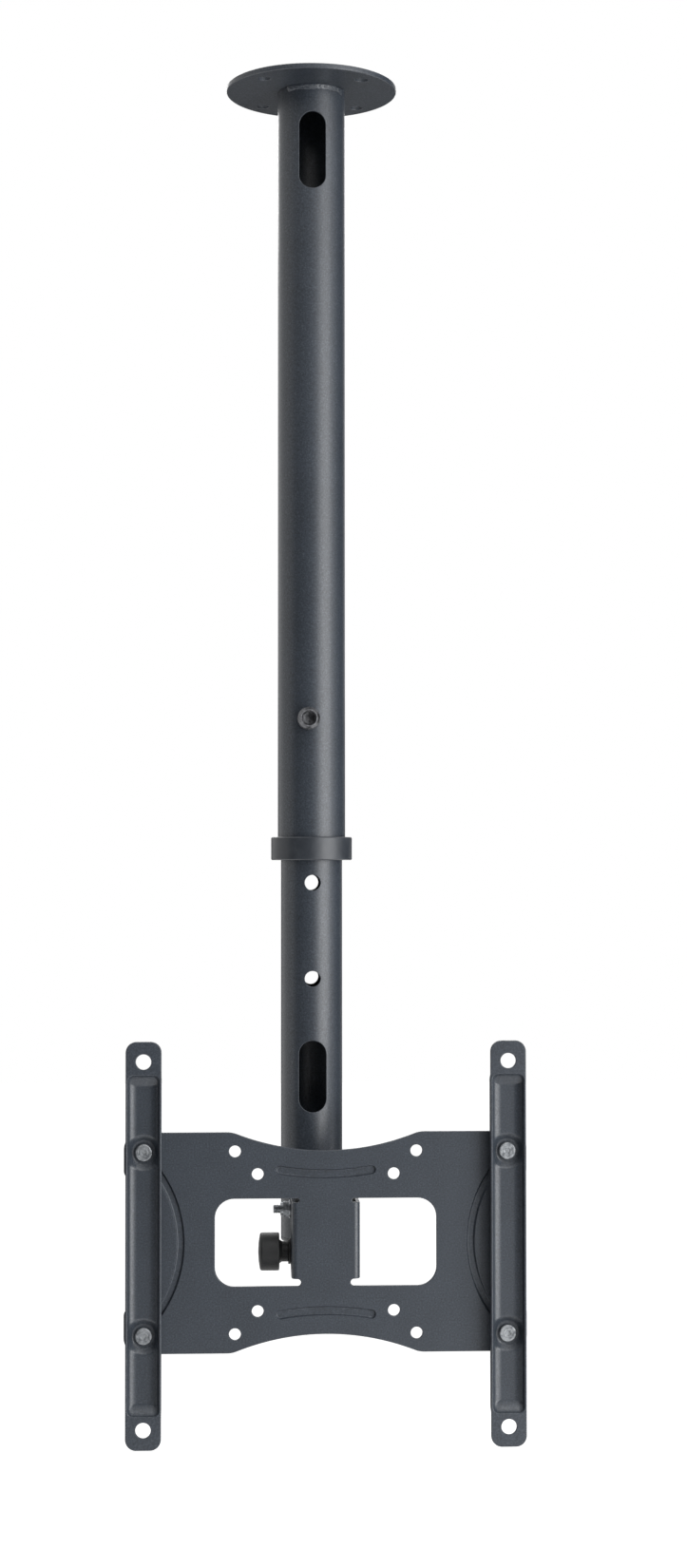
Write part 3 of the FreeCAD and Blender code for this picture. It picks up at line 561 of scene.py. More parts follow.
def makeArm(side, name, node):
    values = pressedArm
    midX, midZ = values["middle"][0] + side * values["aside"], values["middle"][1]
    halfWidth, halfLength = values["halfWidth"], values["halfLength"]
    depth, back = values["troughDepth"], 20.0      # the back face waits at this depth until it is shaped
    mouth, bottom, dimpleDepth = values["dimple"]
    troughHalf, troughLong, troughCorner = values["trough"]

    def rectangle(across, upward, corner):
        return roundedLoop([(midX - across, midZ - upward, corner), (midX + across, midZ - upward, corner),
                            (midX + across, midZ + upward, corner), (midX - across, midZ + upward, corner)])

    def troughLoop(offset):
        return rectangle(troughHalf + offset, troughLong + offset, max(0.06, troughCorner + offset))

    def holeLoop(level, radius):
        return circleLoop((midX, midZ + level), radius)

    # A smooth round step at each rivet, with its two slopes
    def roundStep(u, w, outer, inner, depth):
        ring = hypot(u - midX, abs(w - midZ) - values["dimpleUp"])
        share = (outer - ring) / (outer - inner)
        slope = -depth * smoothSlope(share) / (outer - inner) / max(ring, 0.01)
        upward = (abs(w - midZ) - values["dimpleUp"]) * (1 if w > midZ else -1)
        return depth * smoothStep(share), slope * (u - midX), slope * upward

    def backAt(u, w):
        wider, longer, corner, slope = values["channel"]
        dx = max(0, abs(u - midX) - (halfWidth + wider) + corner)
        dz = max(0, abs(w - midZ) - (troughLong + longer) + corner)
        inside = corner - hypot(dx, dz) if dx or dz else corner
        channel = (values["backDepth"] - values["sheet"]) * smoothStep(inside / slope)
        return values["sheet"] + channel + roundStep(u, w, mouth + 0.6, bottom, dimpleDepth)[0]

    bm = newSheet()
    front, floor, behind = [], [], []
    outline = rectangle(halfWidth, halfLength, values["cornerRound"])
    addWall(bm, (front, behind), outline, edgeProfile(back, values["edgeRound"], 1))
    for k in (-1, 1):
        hole = holeLoop(k * values["holeUp"], values["holeRadius"])
        addWall(bm, (front, behind), hole, edgeProfile(back, values["holeRound"], -1))
    for k in (-1, 1):
        pin = holeLoop(k * values["dimpleUp"], values["pinHole"])
        addWall(bm, (floor, behind), pin, [(0, depth, -0.3, -1), (0, back, -0.3, 1)])
    addWall(bm, (front, floor), troughLoop, troughProfile())
    for edges in (front, floor, behind):
        fillFlat(bm, edges)
    near, end, beside = values["cuts"]
    steps = [k * near for k in range(-23, 24)]
    cutAt(bm, [midZ + level * values["dimpleUp"] + s for level in (-1, 1) for s in steps], (0, 0, 1))
    cutAt(bm, [midZ + k * (troughLong - 9.0 + end * s) for k in (-1, 1) for s in range(27)], (0, 0, 1))
    cutAt(bm, [midX + k * beside for k in range(-17, 18)], (1, 0, 0))

    def press(u, t, w, a, b, c):
        if b > 0.5 and t >= back or b < -0.05 and depth - t < 1e-4:
            a, b, c = 0, round(b) or -1, 0
        if t > 10:
            here = backAt(u, w)
            if b > 0.5:
                reach = 0.02
                a = a - b * (backAt(u + reach, w) - here) / reach
                c = c - b * (backAt(u, w + reach) - here) / reach
            return (u, values["front"] + here - (back - t), w), (a, b, c)
        lean, start = values["endLean"]
        if abs(u - midX) <= troughHalf + 1 and t > 1e-6:
            way = 1 if w > midZ else -1
            lean *= smoothStep((abs(w - midZ) - start) / (troughLong - start))
            b += way * lean * smoothSlope(t / depth) / depth * c
            w -= way * lean * smoothStep(t / depth)
        if b < -0.05 and abs(u - midX) <= troughHalf and t > 0.7:
            flat, slopeU, slopeW = roundStep(u, w, *values["seat"], 1.0)
            gap, grow = depth - t, 1 - flat
            a, c, t = a * grow - gap * slopeU * b, c * grow - gap * slopeW * b, t + gap * flat
            drop, slopeU, slopeW = roundStep(u, w, mouth, bottom, dimpleDepth)
            share, grow = smoothStep(t / depth), 1 + drop * smoothSlope(t / depth) / depth
            a, c, t = a * grow - share * slopeU * b, c * grow - share * slopeW * b, t + share * drop
        return (u, values["front"] + t, w), (a, b, c)

    finishSheet(bm, name, press, node)


makeArm(-1, "leftArmChannel", "arm_left")
makeArm(1, "rightArmChannel", "arm_right")

print("tubes")
tubes = {
    "outerTube": {
        "node": "outer_tube", "radius": 19.3, "low": -443.5, "high": -3.0, "slot": (-40.6, 15.0, 44.0),
        "holes": [(-2.4, -366.2, 4.08)], "drilledThrough": False,
    },
    "innerTube": {
        "node": "inner_tube", "radius": 17.5, "low": -660.5, "high": -246.0, "slot": (-568.6, 15.4, 40.3),
        "holes": [(0.0, -513.4 + 54.4 * k, 4.4) for k in range(5)], "drilledThrough": True,
    },
}
tubeSheet = {"wall": 1.5, "endRound": 0.3, "slotRound": 0.45, "holeRound": 0.35, "sides": 96}


def makeTube(name):
    values = tubes[name]
    radius, wall = values["radius"], tubeSheet["wall"]
    bm = newSheet()
    facing = bm.verts.layers.float_vector["facing"]
    sides = [], []
    start, end = -pi / 2 * radius, 1.5 * pi * radius

    def through(behind):
        def project(x, t, z, a, b, c):
            angle = asin(max(-1, min(1, x / (radius - t))))
            if behind:
                angle = pi - angle
            return (angle * radius, t, z), (a * cos(angle), b - a * sin(angle), c)
        return project

    slotUp, slotWide, slotTall = values["slot"]
    straight = (slotTall - slotWide) / 2
    spine = arcLoop((0, slotUp + straight), 0, 0, 180) + arcLoop((0, slotUp - straight), 0, 180, 360)
    holes = [(spine, slotWide / 2, False, tubeSheet["slotRound"])]
    for behind in (False, True)[:1 + values["drilledThrough"]]:
        for x, z, size in values["holes"]:
            holes.append((arcLoop((x, z), 0, 0, 360)[:-1], size, behind, tubeSheet["holeRound"]))
    for loop, size, behind, edge in holes:
        profile = [(size + o, t, a, b) for o, t, a, b in edgeProfile(wall, edge, -1, 3)]
        addWall(bm, sides, loop, profile, through(behind))
    ends = []
    for level, way in ((values["high"], 1), (values["low"], -1)):
        rows = []
        for offset, t, a, b in edgeProfile(wall, tubeSheet["endRound"], 1):
            row = []
            for u in (start, end):
                vert = bm.verts.new((u, t, level + way * offset))
                vert[facing] = (0, b, a * way)
                row.append(vert)
            rows.append(row)
        for near, far in zip(rows, rows[1:]):
            bm.faces.new((near[0], near[1], far[1], far[0]))
        ends.append(rows)
    for edges, index in zip(sides, (0, -1)):
        high, low = ends[0][index], ends[1][index]
        edges.extend([bm.edges.get(high), bm.edges.get(low), bm.edges.new((high[0], low[0])),
                      bm.edges.new((high[1], low[1]))])
        fillFlat(bm, edges)
    count = tubeSheet["sides"]
    cutAt(bm, [start + (end - start) * k / count for k in range(1, count)], (1, 0, 0))

    def roll(u, t, w, a, b, c):
        angle, r = u / radius, radius - t
        sine, cosine = sin(angle), cos(angle)
        return (r * sine, -r * cosine, w), (a * cosine - b * sine, a * sine + b * cosine, c)

    finishSheet(bm, name, roll, values["node"])


for tubeName in tubes:
    makeTube(tubeName)

print("flange")
ceilingFlange = {
    "radius": 49.0, "thickness": 3.0, "edgeRound": 0.7,
    "holeCircle": 39.0, "holeRadius": 3.5, "holeRound": 0.4,
}


def makeFlange():
    values = ceilingFlange
    thick = values["thickness"]
    bm = newSheet()
    sides = [], []
    addWall(bm, sides, circleLoop((0, 0), values["radius"], 3), edgeProfile(thick, values["edgeRound"], 1))
    for k in range(4):
        angle = radians(45 + 90 * k)
        place = Vector((cos(angle), sin(angle))) * values["holeCircle"]
        hole = circleLoop(place, values["holeRadius"])
        addWall(bm, sides, hole, edgeProfile(thick, values["holeRound"], -1))
    for edges in sides:
        fillFlat(bm, edges)

    def lie(u, t, w, a, b, c):
        return (u, w, t - thick), (a, c, b)

    finishSheet(bm, "ceilingFlange", lie, "ceiling_plate")


makeFlange()

print("turned parts")
# Each is a closed outline of (radius, height along its axis, rounding) in mm
turnedParts = {
    "collarRing": {
        "node": "collar_ring", "origin": (0, 0, -446.2), "axis": (0, 0, 1), "count": 128,
        "outline": [(17.8, 0, 0.3), (22.6, 0, 0.2), (23.15, 0.55, 0.25), (23.15, 12.65, 0.25),
                    (22.6, 13.2, 0.2), (19.32, 13.2, 0.3), (19.32, 2.7, 0.2), (17.8, 2.7, 0.2)],
    },
    "tubeEndCap": {
        "node": "tube_end_cap", "origin": (0, 0, -662.9), "axis": (0, 0, 1), "count": 96,
        "outline": [(0.0, 0, 0.01), (17.5, 0, 1.3), (17.5, 2.4, 0.35), (16.0, 2.4, 0.2), (16.0, 14.4, 0.4),
                    (14.0, 14.4, 0.4), (14.0, 2.4, 0.3), (0.0, 2.4, 0.01)],
    },
    "knobGrip": {
        "node": "knob_grip", "origin": (-31.0, -36.0, -663.9), "axis": (1, 0, 0), "count": 96,
        "outline": [(0.0, 0, 0.01), (5.2, 0.27, 9.0), (10.5, 1.1, 1.4), (10.5, 11.7, 0.8), (6.6, 11.7, 0.6),
                    (5.65, 13.2, 0.6), (5.65, 16.7, 0.3), (3.0, 16.7, 0.1), (3.0, 2.7, 0.1),
                    (0.0, 2.7, 0.01)],
    },
    "knobWasher": {
        "node": "knob_washer", "origin": (-14.3, -36.0, -663.9), "axis": (1, 0, 0), "count": 64,
        "outline": [(3.0, 0, 0.1), (7.0, 0, 0.3), (7.0, 1.3, 0.3), (3.0, 1.3, 0.1)],
    },
}
for partName, values in turnedParts.items():
    outline = roundedLoop(values["outline"], 18)
    mesh = turnedMesh(partName, outline, values["origin"], values["axis"], values["count"])
    registerPiece(partName, mesh, values["node"])


def flatten(piece):
    view = bpy.context.evaluated_depsgraph_get()
    view.update()
    mesh = bpy.data.meshes.new_from_object(piece.evaluated_get(view))
    piece.modifiers.clear()
    return mesh


# Copies of the plainer solids with the small edge rounding, in mm, that their coat or making gives;
# the hinge bolt's copy ends inside its nut, where its threaded end takes over
softCopies = {
    "tilt_yoke": ("foldedYoke", 0.35),
    "screw_boss": ("weldedBoss", 0.3),
    "hinge_nut": ("hingeNut", 0.15),
    "lock_nut": ("lockNut", 0.2),
    "hinge_washer": ("hingeWasher", 0.15),
    "hinge_bolt": ("hingeBolt", 0.1),
    "guide_ring": ("guideRing", 0.4),
    "pivot_washer_left": ("leftPivotWasher", 0.2),
    "pivot_washer_right": ("rightPivotWasher", 0.2),
    "hinge_nut_insert": ("hingeNutInsert", 0.1),
}
boltCut = -17.5     # mm


def softenEdges(node, name, width):
    mesh = frame["nodes"][node].data.copy()
    bm = bmesh.new()
    bm.from_mesh(mesh)
    bmesh.ops.remove_doubles(bm, verts=bm.verts, dist=1e-6)
    if node == "hinge_bolt":
        cut = bmesh.ops.bisect_plane(bm, geom=bm.verts[:] + bm.edges[:] + bm.faces[:], clear_inner=True,
                                     plane_co=(boltCut * millimetre, 0, 0), plane_no=(1, 0, 0))
        bmesh.ops.holes_fill(bm, edges=[e for e in cut["geom_cut"] if isinstance(e, bmesh.types.BMEdge)])
    bmesh.ops.dissolve_limit(bm, angle_limit=radians(0.6), verts=bm.verts, edges=bm.edges)
    bm.to_mesh(mesh)
    bm.free()
    for polygon in mesh.polygons:
        polygon.use_smooth = True
    draft = newObject(name + "Draft", mesh)
    bevel = draft.modifiers.new("softEdge", "BEVEL")
    bevel.width = width * millimetre
    bevel.segments = 3
    bevel.limit_method = "ANGLE"
    bevel.angle_limit = radians(32)
    weighted = draft.modifiers.new("evenShade", "WEIGHTED_NORMAL")
    weighted.keep_sharp = True
    done = flatten(draft)
    bpy.data.objects.remove(draft)
    registerPiece(name, done, node)


for node, (softName, width) in softCopies.items():
    softenEdges(node, softName, width)


# A small helper for Geometry Nodes: one tree with named inputs, set by their identifiers
def newTree(name, inputs):
    tree = bpy.data.node_groups.new(name, "GeometryNodeTree")
    tree.interface.new_socket("Geometry", in_out="INPUT", socket_type="NodeSocketGeometry")
    tree.interface.new_socket("Geometry", in_out="OUTPUT", socket_type="NodeSocketGeometry")
    for label, value in inputs.items():
        kind = "NodeSocketInt" if isinstance(value, int) else "NodeSocketFloat"
        tree.interface.new_socket(label, in_out="INPUT", socket_type=kind)
    return tree, addNode(tree, "NodeGroupInput")


signs = {"+": "ADD", "-": "SUBTRACT", "*": "MULTIPLY", "/": "DIVIDE", "**": "POWER", "<": "LESS_THAN"}


# Each sum becomes a math node. A sign, or a node's own operation, stands between its two terms or before
# its only one, and a term is a number or the name of an earlier result.
def addSums(tree, known, lines):
    for step in "; ".join(lines).split("; "):
        name, _, *terms = step.split()
        sign = terms.pop(len(terms) - 2)
        inputs = {i: known[term] if term in known else float(term) for i, term in enumerate(terms)}
        result = addNode(tree, "ShaderNodeMath", inputs, operation=signs.get(sign, sign.upper()))
        known[name] = result.outputs[0]
    return known


# A grid whose columns turn round an axis. Its first and last rows have no body, so the steps that follow can
# close them, and run goes from nought to one over the rows between them.
def addRolledGrid(tree, around, rows, given, names):
    grid = addNode(tree, "GeometryNodeMeshGrid", {
        "Size X": 1.0, "Size Y": 1.0, "Vertices X": around, "Vertices Y": rows})
    place = addNode(tree, "ShaderNodeSeparateXYZ", {"Vector": addNode(tree, "GeometryNodeInputPosition")})
    known = {"x": place.outputs["X"], "y": place.outputs["Y"], "circle": 2 * pi}
    known.update({"last": rows - 1.0, "between": rows - 3.0, "middle": (rows - 1) / 2, "inner": rows / 2 - 1})
    known.update({name: given.outputs[name] for name in names})
    return grid, addSums(tree, known, [
        "half = x + 0.5; turn = half * circle; way = y + 0.5; cosine = cosine turn; sine = sine turn",
        "row = way * last; first = row - 1; past = first / between; low = past maximum 0",
        "run = low minimum 1; edge = row - middle; side = absolute edge; body = side < inner",
    ])


def closeRolledGrid(tree, grid, known):
    addSums(tree, known, ["u = radius * cosine; v = radius * sine"])
    where = addNode(tree, "ShaderNodeCombineXYZ", {"X": known["u"], "Y": known["v"], "Z": known["height"]})
    rolled = addNode(tree, "GeometryNodeSetPosition", {"Geometry": grid, "Position": where})
    merged = addNode(tree, "GeometryNodeMergeByDistance", {"Geometry": rolled, "Distance": 1e-6})
    return addNode(tree, "GeometryNodeSetShadeSmooth", {"Geometry": merged})


def endTree(tree, geometry, slot):
    real = addNode(tree, "GeometryNodeRealizeInstances", {"Geometry": geometry})
    painted = addNode(tree, "GeometryNodeSetMaterial", {"Geometry": real, "Material": slots[slot]})
    addNode(tree, "NodeGroupOutput", {"Geometry": painted})


def growPiece(tree, inputs, name, node, place=Matrix(), seedMesh=None, standsFor=True):
    host = newObject(name + "Host", seedMesh or bpy.data.meshes.new(name + "Seed"))
    modifier = host.modifiers.new("grow", "NODES")
    modifier.node_group = tree
    for item in tree.interface.items_tree:
        if item.in_out == "INPUT" and item.name in inputs:
            modifier[item.identifier] = inputs[item.name]
    mesh = flatten(host)
    bpy.data.objects.remove(host)
    bm = bmesh.new()
    bm.from_mesh(mesh)
    bmesh.ops.recalc_face_normals(bm, faces=bm.faces)
    bm.to_mesh(mesh)
    bm.free()
    mesh.transform(place)
    registerPiece(name, mesh, node, standsFor)


print("rivets")
armRivets = {"Across": 0.2, "Upward": 0.1}      # m between the rivets
rivetHead = {
    "middle": (6.0, -56.0, -656.4),     # mm, of the four seats
    # radius, height over the seat, rounding: a flat head with a struck ring and a dished middle
    "outline": [(0.0, -5.9, 0.01), (4.0, -5.9, 0.5), (4.0, -4.3, 0.3), (2.5, -4.3, 0.2), (2.5, 0.0, 0.2),
                (4.75, 0.0, 0.2), (4.75, 2.2, 0.75), (3.1, 2.2, 0.1), (2.95, 2.03, 0.06),
                (2.55, 2.03, 0.06), (2.4, 2.18, 0.1), (1.5, 2.14, 0.1), (1.3, 1.86, 0.1), (0.0, 1.84, 0.01)],
}


def makeRivets():
    tree, given = newTree("rivetRows", armRivets)
    across, upward = given.outputs["Across"], given.outputs["Upward"]
    grid = addNode(tree, "GeometryNodeMeshGrid", {
        "Size X": across, "Size Y": upward, "Vertices X": 2, "Vertices Y": 2})
    upright = addNode(tree, "GeometryNodeTransform", {"Geometry": grid, "Rotation": (pi / 2, 0, 0)})
    rows = addNode(tree, "GeometryNodeInstanceOnPoints", {
        "Points": upright, "Instance": given.outputs["Geometry"]})
    moved = addNode(tree, "GeometryNodeTransform", {
        "Geometry": rows, "Translation": [place * millimetre for place in rivetHead["middle"]]})
    endTree(tree, moved, "zinc_steel")
    mesh = turnedMesh("rivet", roundedLoop(rivetHead["outline"], 30), (0, 0, 0), (0, -1, 0), 64)
    growPiece(tree, armRivets, "armRivets", "arm_rivets", seedMesh=mesh)


makeRivets()

print("weld")
# A thin hand-laid fillet weld in two runs under its coat: crescent ripples, lumps, a wavering toe,
# blunt ends, and low spatter on the tube below
flangeWeld = {
    "Radius": 0.0193, "Sink": 0.0004, "Reach": 0.0011, "Drop": 0.0029, "Crown": 0.00035,     # m
    "Lump": 0.0006, "Ripples": 40, "Ripple": 0.0002, "Lead": 0.8, "Toe": 0.0016, "Blob": 0.0007,
    "Start": 0.614, "Run": 0.66,        # where a run starts round the tube, and its share of half a turn
    "Spatter": 90, "Spread": 0.009, "Bed": 0.00016, "Drops": 0.00027, "Seed": 4,
}
weldTop = -3.0      # mm


def makeFlangeWeld():
    tree, given = newTree("flangeWeld", flangeWeld)
    grid, known = addRolledGrid(tree, 1153, 16, given, flangeWeld)
    around = addNode(tree, "ShaderNodeCombineXYZ", {
        "X": known["cosine"], "Y": known["sine"], "Z": known["way"]})
    for label, scale, detail in (("noise", 9.0, 3.0), ("slow", 4.0, 2.0)):
        noise = addNode(tree, "ShaderNodeTexNoise", {"Vector": around, "Scale": scale, "Detail": detail})
        known[label] = noise.outputs["Fac"]
    addSums(tree, known, [
        # how full the run is here: empty between two runs, blunt and thicker at its ends
        "from = half - Start; doubled = from * 2; lap = fract doubled; left = Run - lap",
        "toEnd = lap minimum left; steep = toEnd * 30; least = steep maximum 0; most = least minimum 1",
        "full = most ** 0.5",
        "far = toEnd * -22; fade = exponent far; blob = fade * Blob",
        # how far it stands out: an arch from the flange to the tube, with ripples that lead in its middle
        "rest = 1 - run; hump = run * rest; arch = hump * 4; laid = half * Ripples; sag = arch * Lead",
        "phase = laid + sag; saw = fract phase; bent = saw ** 1.8; ripple = bent * Ripple",
        "off = noise - 0.5; lump = off * Lump; crowned = Crown + lump; tall = crowned - ripple",
        "lift = tall * arch; slant = Reach * rest; proud = slant + lift; out = proud * full",
        "risen = out + Sink; offset = risen * body; core = Radius - Sink; gap = 1 - full",
        "hidden = gap * Sink; sunken = offset - hidden; kept = sunken maximum 0; radius = core + kept",
        # how far it reaches down the tube
        "sway = slow - 0.5; toe = sway * Toe; leg = Drop + toe; deep = leg + blob; down = deep * run",
        "filled = down * full; fall = filled * body; height = fall * -1",
    ])
    bead = closeRolledGrid(tree, grid, known)
    line = addNode(tree, "GeometryNodeMeshLine", {"Count": known["Spatter"], "Offset": (0, 0, 0)})
    chances = (("turn", 0.0, 2 * pi, known["Seed"]), ("fall", 0.0, 1.0, 9), ("size", 0.3, 1.0, 2))
    for label, low, high, seed in chances:
        chance = addNode(tree, "FunctionNodeRandomValue", {2: low, 3: high, "Seed": seed})
        known[label] = chance.outputs[1]
    addSums(tree, known, [
        "cosine = cosine turn; sine = sine turn; near = fall ** 1.7; away = near * Spread",
        "under = away + Drop; height = under * -1; bed = Radius - Bed; x = bed * cosine; y = bed * sine",
    ])
    where = addNode(tree, "ShaderNodeCombineXYZ", {"X": known["x"], "Y": known["y"], "Z": known["height"]})
    scattered = addNode(tree, "GeometryNodeSetPosition", {"Geometry": line, "Position": where})
    ball = addNode(tree, "GeometryNodeMeshIcoSphere", {"Radius": known["Drops"], "Subdivisions": 2})
    smoothBall = addNode(tree, "GeometryNodeSetShadeSmooth", {"Geometry": ball})
    drops = addNode(tree, "GeometryNodeInstanceOnPoints", {
        "Points": scattered, "Instance": smoothBall, "Scale": known["size"]})
    joined = addNode(tree, "GeometryNodeJoinGeometry", {"Geometry": bead})
    tree.links.new(drops.outputs["Instances"], joined.inputs["Geometry"])
    endTree(tree, joined, "powder_coat")
    place = Matrix.Translation((0, 0, weldTop * millimetre))
    growPiece(tree, flangeWeld, "flangeWeld", "ceiling_weld", place)


makeFlangeWeld()

print("threads")
threadedRods = {        # starts in mm, sizes in m
    "hingeBoltThread": {
        "node": "hinge_bolt", "standsFor": False, "start": (-22.6, -36.0, -640.4),
        "sizes": {"Radius": 0.0025, "Length": 0.006, "Pitch": 0.0008, "Depth": 0.00042, "Chamfer": 0.0005},
    },
    "knobStud": {
        "node": "knob_stud", "standsFor": True, "start": (-28.3, -36.0, -663.9),
        "sizes": {"Radius": 0.003, "Length": 0.0285, "Pitch": 0.001, "Depth": 0.00055, "Chamfer": 0.0006},
    },
}


def makeRodTree(sizes):
    tree, given = newTree("threadedRod", sizes)
    grid, known = addRolledGrid(tree, 49, int(12 * sizes["Length"] / sizes["Pitch"]) + 4, given, sizes)
    addSums(tree, known, [
        "height = run * Length; pitches = height / Pitch; phase = pitches - half; doubled = phase * 2",
        "crest = doubled pingpong 1; steep = crest * 1.35; flat = steep minimum 1; cut = flat * Depth",
        "core = Radius - cut; fromEnd = Length - height; nearer = height minimum fromEnd",
        "bare = Radius - Chamfer; cone = bare + nearer; tapered = core minimum cone; radius = tapered * body",
    ])
    endTree(tree, closeRolledGrid(tree, grid, known), "zinc_steel")
    return tree


alongX = Vector((1, 0, 0)).to_track_quat("Z", "Y").to_matrix().to_4x4()
for rodName, rod in threadedRods.items():
    growPiece(makeRodTree(rod["sizes"]), rod["sizes"], rodName, rod["node"],
              Matrix.Translation(Vector(rod["start"]) * millimetre) @ alongX, standsFor=rod["standsFor"])

print("clamp screw")
clampScrew = {
    "axis": (-2.4, -366.2),     # mm, across and up; what follows is in front of the tube's axis
    "tip": 17.8, "headBack": 23.1, "face": 31.1, "socketFloor": 25.2, "knurlMiddle": 25.9,
    "shank": 4.0, "head": 6.2, "flats": 6.3,
    # radius and depth behind the face: a worn shoulder, a round lip and a countersunk mouth
    "lip": [(6.2, 2.4), (6.14, 2.1), (6.0, 1.82), (5.2, 0.82), (5.02, 0.55), (4.86, 0.27), (4.7, 0.08),
            (4.52, 0.0), (4.34, 0.06), (4.18, 0.22), (4.05, 0.45)],
}
screwKnurl = {"Ridges": 44, "Radius": 0.00615, "Tall": 0.0048, "Wide": 0.00034}     # m


def makeClampScrew():
    values = clampScrew
    head, face, back, tip = values["head"], values["face"], values["headBack"], values["tip"]
    shank, floor = values["shank"], values["socketFloor"]
    across, up = values["axis"]
    mouth, mouthDepth = values["lip"][-1]
    count = 96
    bm = bmesh.new()
    rings = []

    def addRing(reach):
        ring = []
        for k in range(count):
            angle = radians(360 * k / count)
            radius, height = reach(angle)
            where = Vector((across + radius * cos(angle), -height, up + radius * sin(angle)))
            ring.append(bm.verts.new(where * millimetre))
        rings.append(ring)

    def socket(angle):
        return values["flats"] / 2 / cos((angle + pi / 6) % (pi / 3) - pi / 6)

    outline = [(0, tip), (shank - 0.8, tip), (shank, tip + 0.8), (shank, back), (head - 0.2, back)]
    outline += [(head, back + 0.2)] + [(radius, face - depth) for radius, depth in values["lip"]]
    for radius, height in outline:
        addRing(lambda angle: (radius, height))
    addRing(lambda angle: (socket(angle), face - mouthDepth - (mouth - socket(angle)) * 1.3))
    addRing(lambda angle: (socket(angle), floor))
    addRing(lambda angle: (0, floor - 0.4))
    joinRings(bm, rings)
    bmesh.ops.remove_doubles(bm, verts=bm.verts, dist=1e-7)
    bmesh.ops.recalc_face_normals(bm, faces=bm.faces)
    for edge in bm.edges:
        edge.smooth = edge.calc_face_angle(0) < radians(24)
    mesh = bpy.data.meshes.new("clampScrew")
    bm.to_mesh(mesh)
    bm.free()
    mesh.polygons.foreach_set("use_smooth", [True] * len(mesh.polygons))
    registerPiece("clampScrew", mesh, "clamp_screw")


def makeKnurl():
    tree, given = newTree("screwKnurl", screwKnurl)
    ring = addNode(tree, "GeometryNodeMeshCircle", {
        "Vertices": given.outputs["Ridges"], "Radius": given.outputs["Radius"]})
    ridge = addNode(tree, "GeometryNodeMeshCylinder", {
        "Vertices": 10, "Radius": given.outputs["Wide"], "Depth": given.outputs["Tall"]})
    upright = addNode(tree, "GeometryNodeInstanceOnPoints", {"Points": ring, "Instance": ridge})
    endTree(tree, upright, "black_steel")
    across, up = clampScrew["axis"]
    where = [place * millimetre for place in (across, -clampScrew["knurlMiddle"], up)]
    place = Matrix.Translation(where) @ Matrix.Rotation(pi / 2, 4, "X")
    growPiece(tree, screwKnurl, "screwKnurl", "clamp_screw", place, standsFor=False)


makeClampScrew()
makeKnurl()

# Camera: found from the photograph's own hole patterns, in mm and degrees
cameraValues = {
    "place": (-51.0, -1475.5, -446.3),
    "yaw": -2.693,
    "pitch": 1.698,
    "roll": -0.038,
    "pixelFocus": 2707.2,
    "pixelHeight": 1650,
}


def makeCamera():
    values = cameraValues
    yaw, pitch, roll = [radians(values[k]) for k in ("yaw", "pitch", "roll")]
    turn = Matrix.Rotation(yaw, 4, "Z") @ Matrix.Rotation(pi / 2 + pitch, 4, "X")
    data = bpy.data.cameras.new("photoCamera")
    data.sensor_width = 36
    data.lens = values["pixelFocus"] * data.sensor_width / values["pixelHeight"]
    data.clip_end = 50
    camera = newObject("photoCamera", data)
    place = Matrix.Translation(Vector(values["place"]) * millimetre)
    camera.matrix_world = place @ turn @ Matrix.Rotation(roll, 4, "Z")
    bpy.context.scene.camera = camera


# Studio: directions are degrees to the right of the camera's side of the object, sizes in metres
studio = {
    "middle": (0.0, 0.0, -0.42),
    "ambient": 0.24,
    "floor": {"height": -1.35, "half": 9.0, "colour": "#dedede", "glow": 0.95},
    "lamps": {
        "keyRight": {"turn": 46, "lift": 0, "far": 2.2, "size": (1.62, 1.86), "watts": 49},
        "softAbove": {"turn": 22, "lift": 50, "far": 2.2, "size": (1.3, 0.9), "watts": 12},
        "softBehind": {"turn": 184, "lift": 33, "far": 2.4, "size": (1.5, 1.0), "watts": 24},
    },
    "cards": {
        "darkFront": {"turn": -29, "lift": -12, "far": 2.5, "size": (4.2, 3.4)},
        "darkRight": {"turn": 118, "lift": 0, "far": 2.5, "size": (2.55, 3.4)},
        "darkBack": {"turn": 180, "lift": -9, "far": 2.2, "size": (2.4, 1.1)},
    },
}


def placeAround(values):
    turn, lift = radians(values["turn"]), radians(values["lift"])
    way = Vector((sin(turn) * cos(lift), -cos(turn) * cos(lift), sin(lift)))
    middle = Vector(studio["middle"])
    return middle + way * values["far"], (-way).to_track_quat("-Z", "Y").to_euler()


def makeLamps():
    for name, values in studio["lamps"].items():
        data = bpy.data.lights.new(name, "AREA")
        data.shape = "RECTANGLE"
        data.size, data.size_y = values["size"]
        data.energy = values["watts"]
        lamp = newObject(name, data)
        lamp.location, lamp.rotation_euler = placeAround(values)


def makeStagePiece(name, x, y, material):
    mesh = bpy.data.meshes.new(name)
    mesh.from_pydata([(-x, -y, 0), (x, -y, 0), (x, y, 0), (-x, y, 0)], [], [(0, 1, 2, 3)])
    mesh.materials.append(material)
    piece = newObject(name, mesh)
    return piece


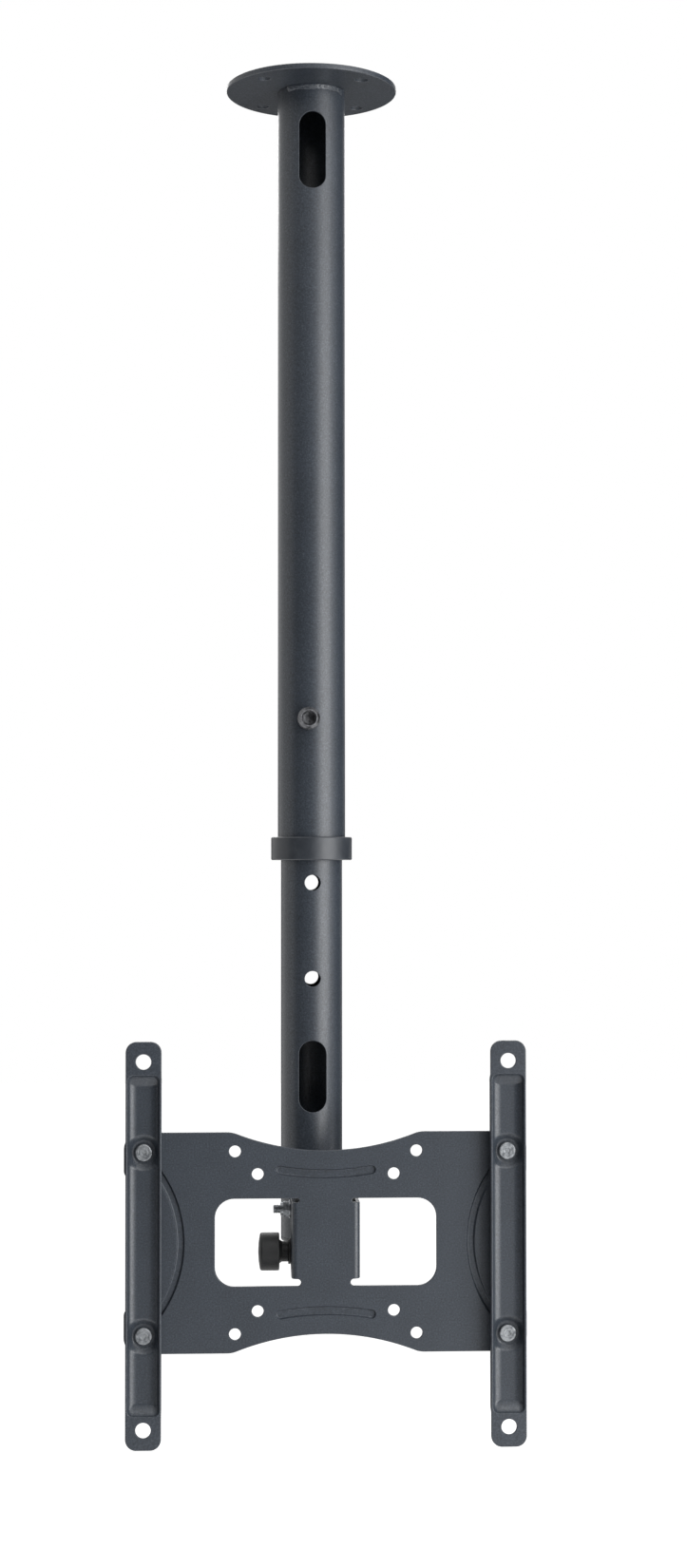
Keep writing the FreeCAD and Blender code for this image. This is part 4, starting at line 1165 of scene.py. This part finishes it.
# Black cards that only the gloss sees, which draw the dark bands down the tubes
def makeCards():
    material, tree = newMaterial("blackCard")
    shader = addNode(tree, "ShaderNodeBsdfPrincipled", {
        "Base Color": toLinear("#050505"), "Roughness": 1.0, "Specular IOR Level": 0.0})
    addNode(tree, "ShaderNodeOutputMaterial", {"Surface": shader})
    for name, values in studio["cards"].items():
        card = makeStagePiece(name, values["size"][0] / 2, values["size"][1] / 2, material)
        card.location, card.rotation_euler = placeAround(values)
        card.visible_camera = card.visible_diffuse = card.visible_shadow = False


# One where the camera, gloss or glass looks, nought where a surface only takes light
def addSeen(tree):
    rays = addNode(tree, "ShaderNodeLightPath")
    seen = 0.0
    for kind in ("Is Camera Ray", "Is Glossy Ray", "Is Transmission Ray"):
        seen = addNode(tree, "ShaderNodeMath", {
            0: seen, 1: rays.outputs[kind]}, operation="ADD", use_clamp=True)
    return seen


def makeWorld():
    world = bpy.data.worlds.new("studio")
    bpy.context.scene.world = world
    world.use_nodes = True
    tree = world.node_tree
    tree.nodes.clear()
    strength = addNode(tree, "ShaderNodeMapRange", {
        "Value": addSeen(tree), "To Min": studio["ambient"], "To Max": 1.0})
    shade = addNode(tree, "ShaderNodeBackground", {"Color": (1, 1, 1, 1), "Strength": strength})
    addNode(tree, "ShaderNodeOutputWorld", {"Surface": shade})


def makeFloor():
    values = studio["floor"]
    material, tree = newMaterial("paleFloor")
    glow = addNode(tree, "ShaderNodeMath", {0: addSeen(tree), 1: values["glow"]}, operation="MULTIPLY")
    shader = addNode(tree, "ShaderNodeBsdfPrincipled", {
        "Base Color": toLinear(values["colour"]), "Roughness": 0.9, "Specular IOR Level": 0.0,
        "Emission Color": (1, 1, 1, 1), "Emission Strength": glow})
    addNode(tree, "ShaderNodeOutputMaterial", {"Surface": shader})
    floor = makeStagePiece("studioFloor", values["half"], values["half"], material)
    floor.location = (0, 0, values["height"])


print("camera and light")
makeCamera()
makeWorld()
makeFloor()
makeLamps()
makeCards()
bpy.context.scene.view_settings.view_transform = "Standard"
